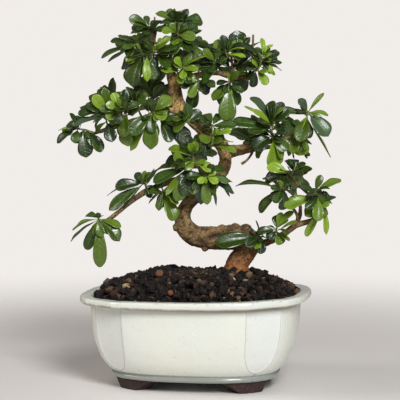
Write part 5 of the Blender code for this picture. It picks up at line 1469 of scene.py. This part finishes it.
def vein_masks(tree):
    """Where the midrib and the side veins run on a leaf."""
    across, along = attribute(tree, "across"), attribute(tree, "along")
    out = arith(tree, "ABSOLUTE", across)
    midrib = arith(tree, "MULTIPLY", spread(tree, out, 0.17, 0.0), spread(tree, along, 1.0, 0.75))
    slanted = arith(tree, "SUBTRACT", arith(tree, "MULTIPLY", along, 52.0),
                    arith(tree, "MULTIPLY", out, 9.0))
    veins = arith(tree, "MULTIPLY", spread(tree, arith(tree, "SINE", slanted), 0.55, 1.0),
                  spread(tree, out, 1.0, 0.7))
    return out, along, midrib, veins


def leaf_top(settings):
    """Glossy upper side: dark when old and yellow-green when new, pale along its midrib."""
    made, tree, shader = new_finish("leaf_top", {"Specular IOR Level": 0.5, "Coat Weight": 0.3,
                                                 "Coat Roughness": 0.16})
    out, along, midrib, veins = vein_masks(tree)
    youth, shade = attribute(tree, "youth"), attribute(tree, "shade")
    old = mix(tree, spread(tree, shade, -1.0, 1.0), settings.old, settings.grown)
    colour = mix(tree, spread(tree, youth, 0.1, 0.55), old,
                 [(a + b) / 2 for a, b in zip(settings.grown, settings.young)])
    colour = mix(tree, spread(tree, youth, 0.5, 1.0), colour, settings.young)
    clouds = mottle(tree, 6, 0.36, 0.68)["Mask"]
    colour = tint(tree, colour, clouds, 0.35, mix(tree, 0.5, colour, (0.022, 0.046, 0.003)))
    # painted reflection: a bluish sheen laid on the listed leaves
    colour = tint(tree, colour, attribute(tree, "painted_sheen"), 0.5, (0.07, 0.12, 0.085))
    colour = tint(tree, colour, veins, 0.14, (0.07, 0.15, 0.02))
    colour = tint(tree, colour, midrib, 0.4, (0.11, 0.21, 0.035))
    edge = arith(tree, "MULTIPLY", spread(tree, out, 0.86, 1.0), 0.35)
    colour = mix(tree, edge, colour, (0.05, 0.08, 0.014))
    colour = tint(tree, colour, spread(tree, along, 0.17, 0.11), 0.85, (0.27, 0.33, 0.09))
    roughness = ranged(tree, mottle(tree, 4)["Mask"], 0.24, 0.42)
    height = arith(tree, "SUBTRACT", mottle(tree, 1.4)["Height"],
                   arith(tree, "ADD", midrib, arith(tree, "MULTIPLY", veins, 0.5)))
    dress(tree, shader, colour, roughness, height, 0.16)
    return made


def leaf_back(settings):
    """Dull, paler back with a raised midrib."""
    made, tree, shader = new_finish("leaf_back", {"Roughness": 0.58})
    _, _, midrib, veins = vein_masks(tree)
    colour = mix(tree, spread(tree, attribute(tree, "youth"), 0.1, 1.0), settings.underside,
                 settings.young)
    colour = tint(tree, colour, midrib, 0.6, (0.30, 0.38, 0.15))
    colour = tint(tree, colour, mottle(tree, 5)["Mask"], 0.3, (0.07, 0.13, 0.03))
    height = arith(tree, "ADD", mottle(tree, 1.4)["Height"],
                   arith(tree, "ADD", midrib, arith(tree, "MULTIPLY", veins, 0.5)))
    dress(tree, shader, colour, None, height, 0.2)
    return made


def stem_finish(settings):
    made, tree, shader = new_finish("green_stem", {"Roughness": 0.6})
    colour = mix(tree, mottle(tree, 3)["Mask"], [c * 0.55 for c in settings.stem], settings.stem)
    woody = mottle(tree, 9, 0.5, 0.62)["Mask"]
    colour = tint(tree, colour, woody, 0.6, (0.13, 0.075, 0.035))
    dress(tree, shader, colour, None, mottle(tree, 0.8)["Height"], 0.15)
    return made


# --- stage ---------------------------------------------------------------------------------------
CAMERA_LENS = 163.0
FLOOR_FADE = (0.22, 0.85)     # metres from the middle
LAMPS = (("key_light", (0.85, -1.65, 1.3), 0.8, (0.96, 0.985, 1.0)),
         ("window_light", (-1.5, -0.6, 1.1), 0.8, (1.0, 0.96, 0.90)))


def make_stage(settings):
    world = bpy.data.worlds.new("soft_daylight")
    bpy.context.scene.world = world
    world.use_nodes = True
    background = world.node_tree.nodes["Background"]
    background.inputs["Color"].default_value = (*settings.backdrop, 1.0)
    seen = add(world.node_tree, "LightPath").outputs["Is Camera Ray"]
    strength = ranged(world.node_tree, seen, settings.daylight, 1.0)
    world.node_tree.links.new(strength, background.inputs["Strength"])
    bm = bmesh.new()
    bmesh.ops.create_circle(bm, cap_ends=True, segments=96, radius=settings.floor_radius)
    floor = put("floor", mesh_from(bm, "floor"))
    made, tree, shader = new_finish("pale_floor", {"Roughness": 0.7})
    colour = mix(tree, mottle(tree, 220)["Mask"], [c * 0.985 for c in settings.floor],
                 settings.floor)
    dress(tree, shader, colour)
    # far from the pot the floor gives way to the backdrop, so no horizon shows
    away = add(tree, "VectorMath", {0: own_space(tree)}, operation="LENGTH").outputs["Value"]
    fade = add(tree, "MixShader", {0: spread(tree, away, *FLOOR_FADE),
                                   1: shader.outputs["BSDF"],
                                   2: add(tree, "BsdfTransparent").outputs["BSDF"]})
    tree.links.new(fade.outputs[0], tree.nodes["Material Output"].inputs["Surface"])
    floor.data.materials.append(made)
    target = PLACE * MM + Vector((0, 0, EYE_AIM_V * MM))
    target += Vector((math.cos(TREE_TURN), math.sin(TREE_TURN), 0)) * EYE_AIM_U * MM
    powers = {"key_light": settings.key, "window_light": settings.window}
    for name, where, size, colour in LAMPS:
        lamp = bpy.data.lights.new(name, "AREA")
        lamp.shape = "DISK"
        lamp.size = size
        lamp.energy = powers[name]
        lamp.color = colour
        hang(name, lamp, Vector(where), target)
    camera = bpy.data.cameras.new("camera")
    camera.lens = CAMERA_LENS
    back = TREE_FRONT * math.cos(EYE_TILT) + UP * math.sin(EYE_TILT)
    bpy.context.scene.camera = hang("camera", camera, target + back * EYE_DISTANCE * MM, target)
    bpy.context.scene.view_settings.view_transform = "Standard"


def hang(name, data, where, target):
    """A lamp or the camera, looking at the tree."""
    made = put(name, data)
    made.location = where
    made.rotation_euler = (target - where).to_track_quat("-Z", "Y").to_euler()
    return made


# --- operators and panel -------------------------------------------------------------------------
class BONSAI_OT_stage(bpy.types.Operator):
    """Set the floor, the light and the camera"""
    bl_idname = "bonsai.make_stage"
    bl_label = "Stage"

    def execute(self, context):
        make_stage(context.scene.bonsai_stage)
        return {"FINISHED"}


class BONSAI_OT_pot(bpy.types.Operator):
    """Make the glazed pot"""
    bl_idname = "bonsai.make_pot"
    bl_label = "Pot"

    def execute(self, context):
        make_pot(context.scene.bonsai_pot)
        return {"FINISHED"}


class BONSAI_OT_feet(bpy.types.Operator):
    """Make the four clay feet"""
    bl_idname = "bonsai.make_feet"
    bl_label = "Feet"

    def execute(self, context):
        make_feet(context.scene.bonsai_pot)
        return {"FINISHED"}


class BONSAI_OT_drainage(bpy.types.Operator):
    """Finish the screens and wires over the drain holes"""
    bl_idname = "bonsai.dress_drainage"
    bl_label = "Drainage"

    def execute(self, context):
        dress_drainage()
        return {"FINISHED"}


class BONSAI_OT_soil(bpy.types.Operator):
    """Heap the crumbs, grains and fibres on the soil"""
    bl_idname = "bonsai.make_soil"
    bl_label = "Soil"

    def execute(self, context):
        make_soil(context.scene.bonsai_soil)
        return {"FINISHED"}


class BONSAI_OT_wood(bpy.types.Operator):
    """Grow the trunk, its branches and twigs"""
    bl_idname = "bonsai.make_wood"
    bl_label = "Wood"

    def execute(self, context):
        make_wood(context.scene.bonsai_wood)
        return {"FINISHED"}


class BONSAI_OT_leaves(bpy.types.Operator):
    """Grow the green stems and their leaves"""
    bl_idname = "bonsai.make_leaves"
    bl_label = "Leaves"

    def execute(self, context):
        make_leaves(context.scene.bonsai_leaf)
        return {"FINISHED"}


class BONSAI_PT_panel(bpy.types.Panel):
    """Sizes, colours and steps of the bonsai"""
    bl_label = "Potted Bonsai"
    bl_idname = "BONSAI_PT_panel"
    bl_space_type = "VIEW_3D"
    bl_region_type = "UI"
    bl_category = "Bonsai"

    def draw(self, context):
        for name, settings in SETTINGS.items():
            box = self.layout.box()
            for field in settings.__annotations__:
                box.prop(getattr(context.scene, name), field)
        for operator in OPERATORS:
            self.layout.operator(operator.bl_idname)


SETTINGS = {"bonsai_stage": BonsaiStageSettings, "bonsai_pot": BonsaiPotSettings,
            "bonsai_soil": BonsaiSoilSettings, "bonsai_wood": BonsaiWoodSettings,
            "bonsai_leaf": BonsaiLeafSettings}
OPERATORS = (BONSAI_OT_stage, BONSAI_OT_pot, BONSAI_OT_feet, BONSAI_OT_drainage, BONSAI_OT_soil,
             BONSAI_OT_wood, BONSAI_OT_leaves)


def register():
    for kind in (*SETTINGS.values(), *OPERATORS, BONSAI_PT_panel):
        bpy.utils.register_class(kind)
    for name, settings in SETTINGS.items():
        setattr(bpy.types.Scene, name, bpy.props.PointerProperty(type=settings))


def unregister():
    for name in SETTINGS:
        delattr(bpy.types.Scene, name)
    for kind in (BONSAI_PT_panel, *reversed(OPERATORS), *reversed(SETTINGS.values())):
        bpy.utils.unregister_class(kind)


def main():
    register()
    bpy.ops.bonsai.make_stage()
    bpy.ops.bonsai.make_pot()
    bpy.ops.bonsai.make_feet()
    bpy.ops.bonsai.dress_drainage()
    bpy.ops.bonsai.make_soil()
    bpy.ops.bonsai.make_wood()
    bpy.ops.bonsai.make_leaves()


if __name__ == "__main__":
    main()
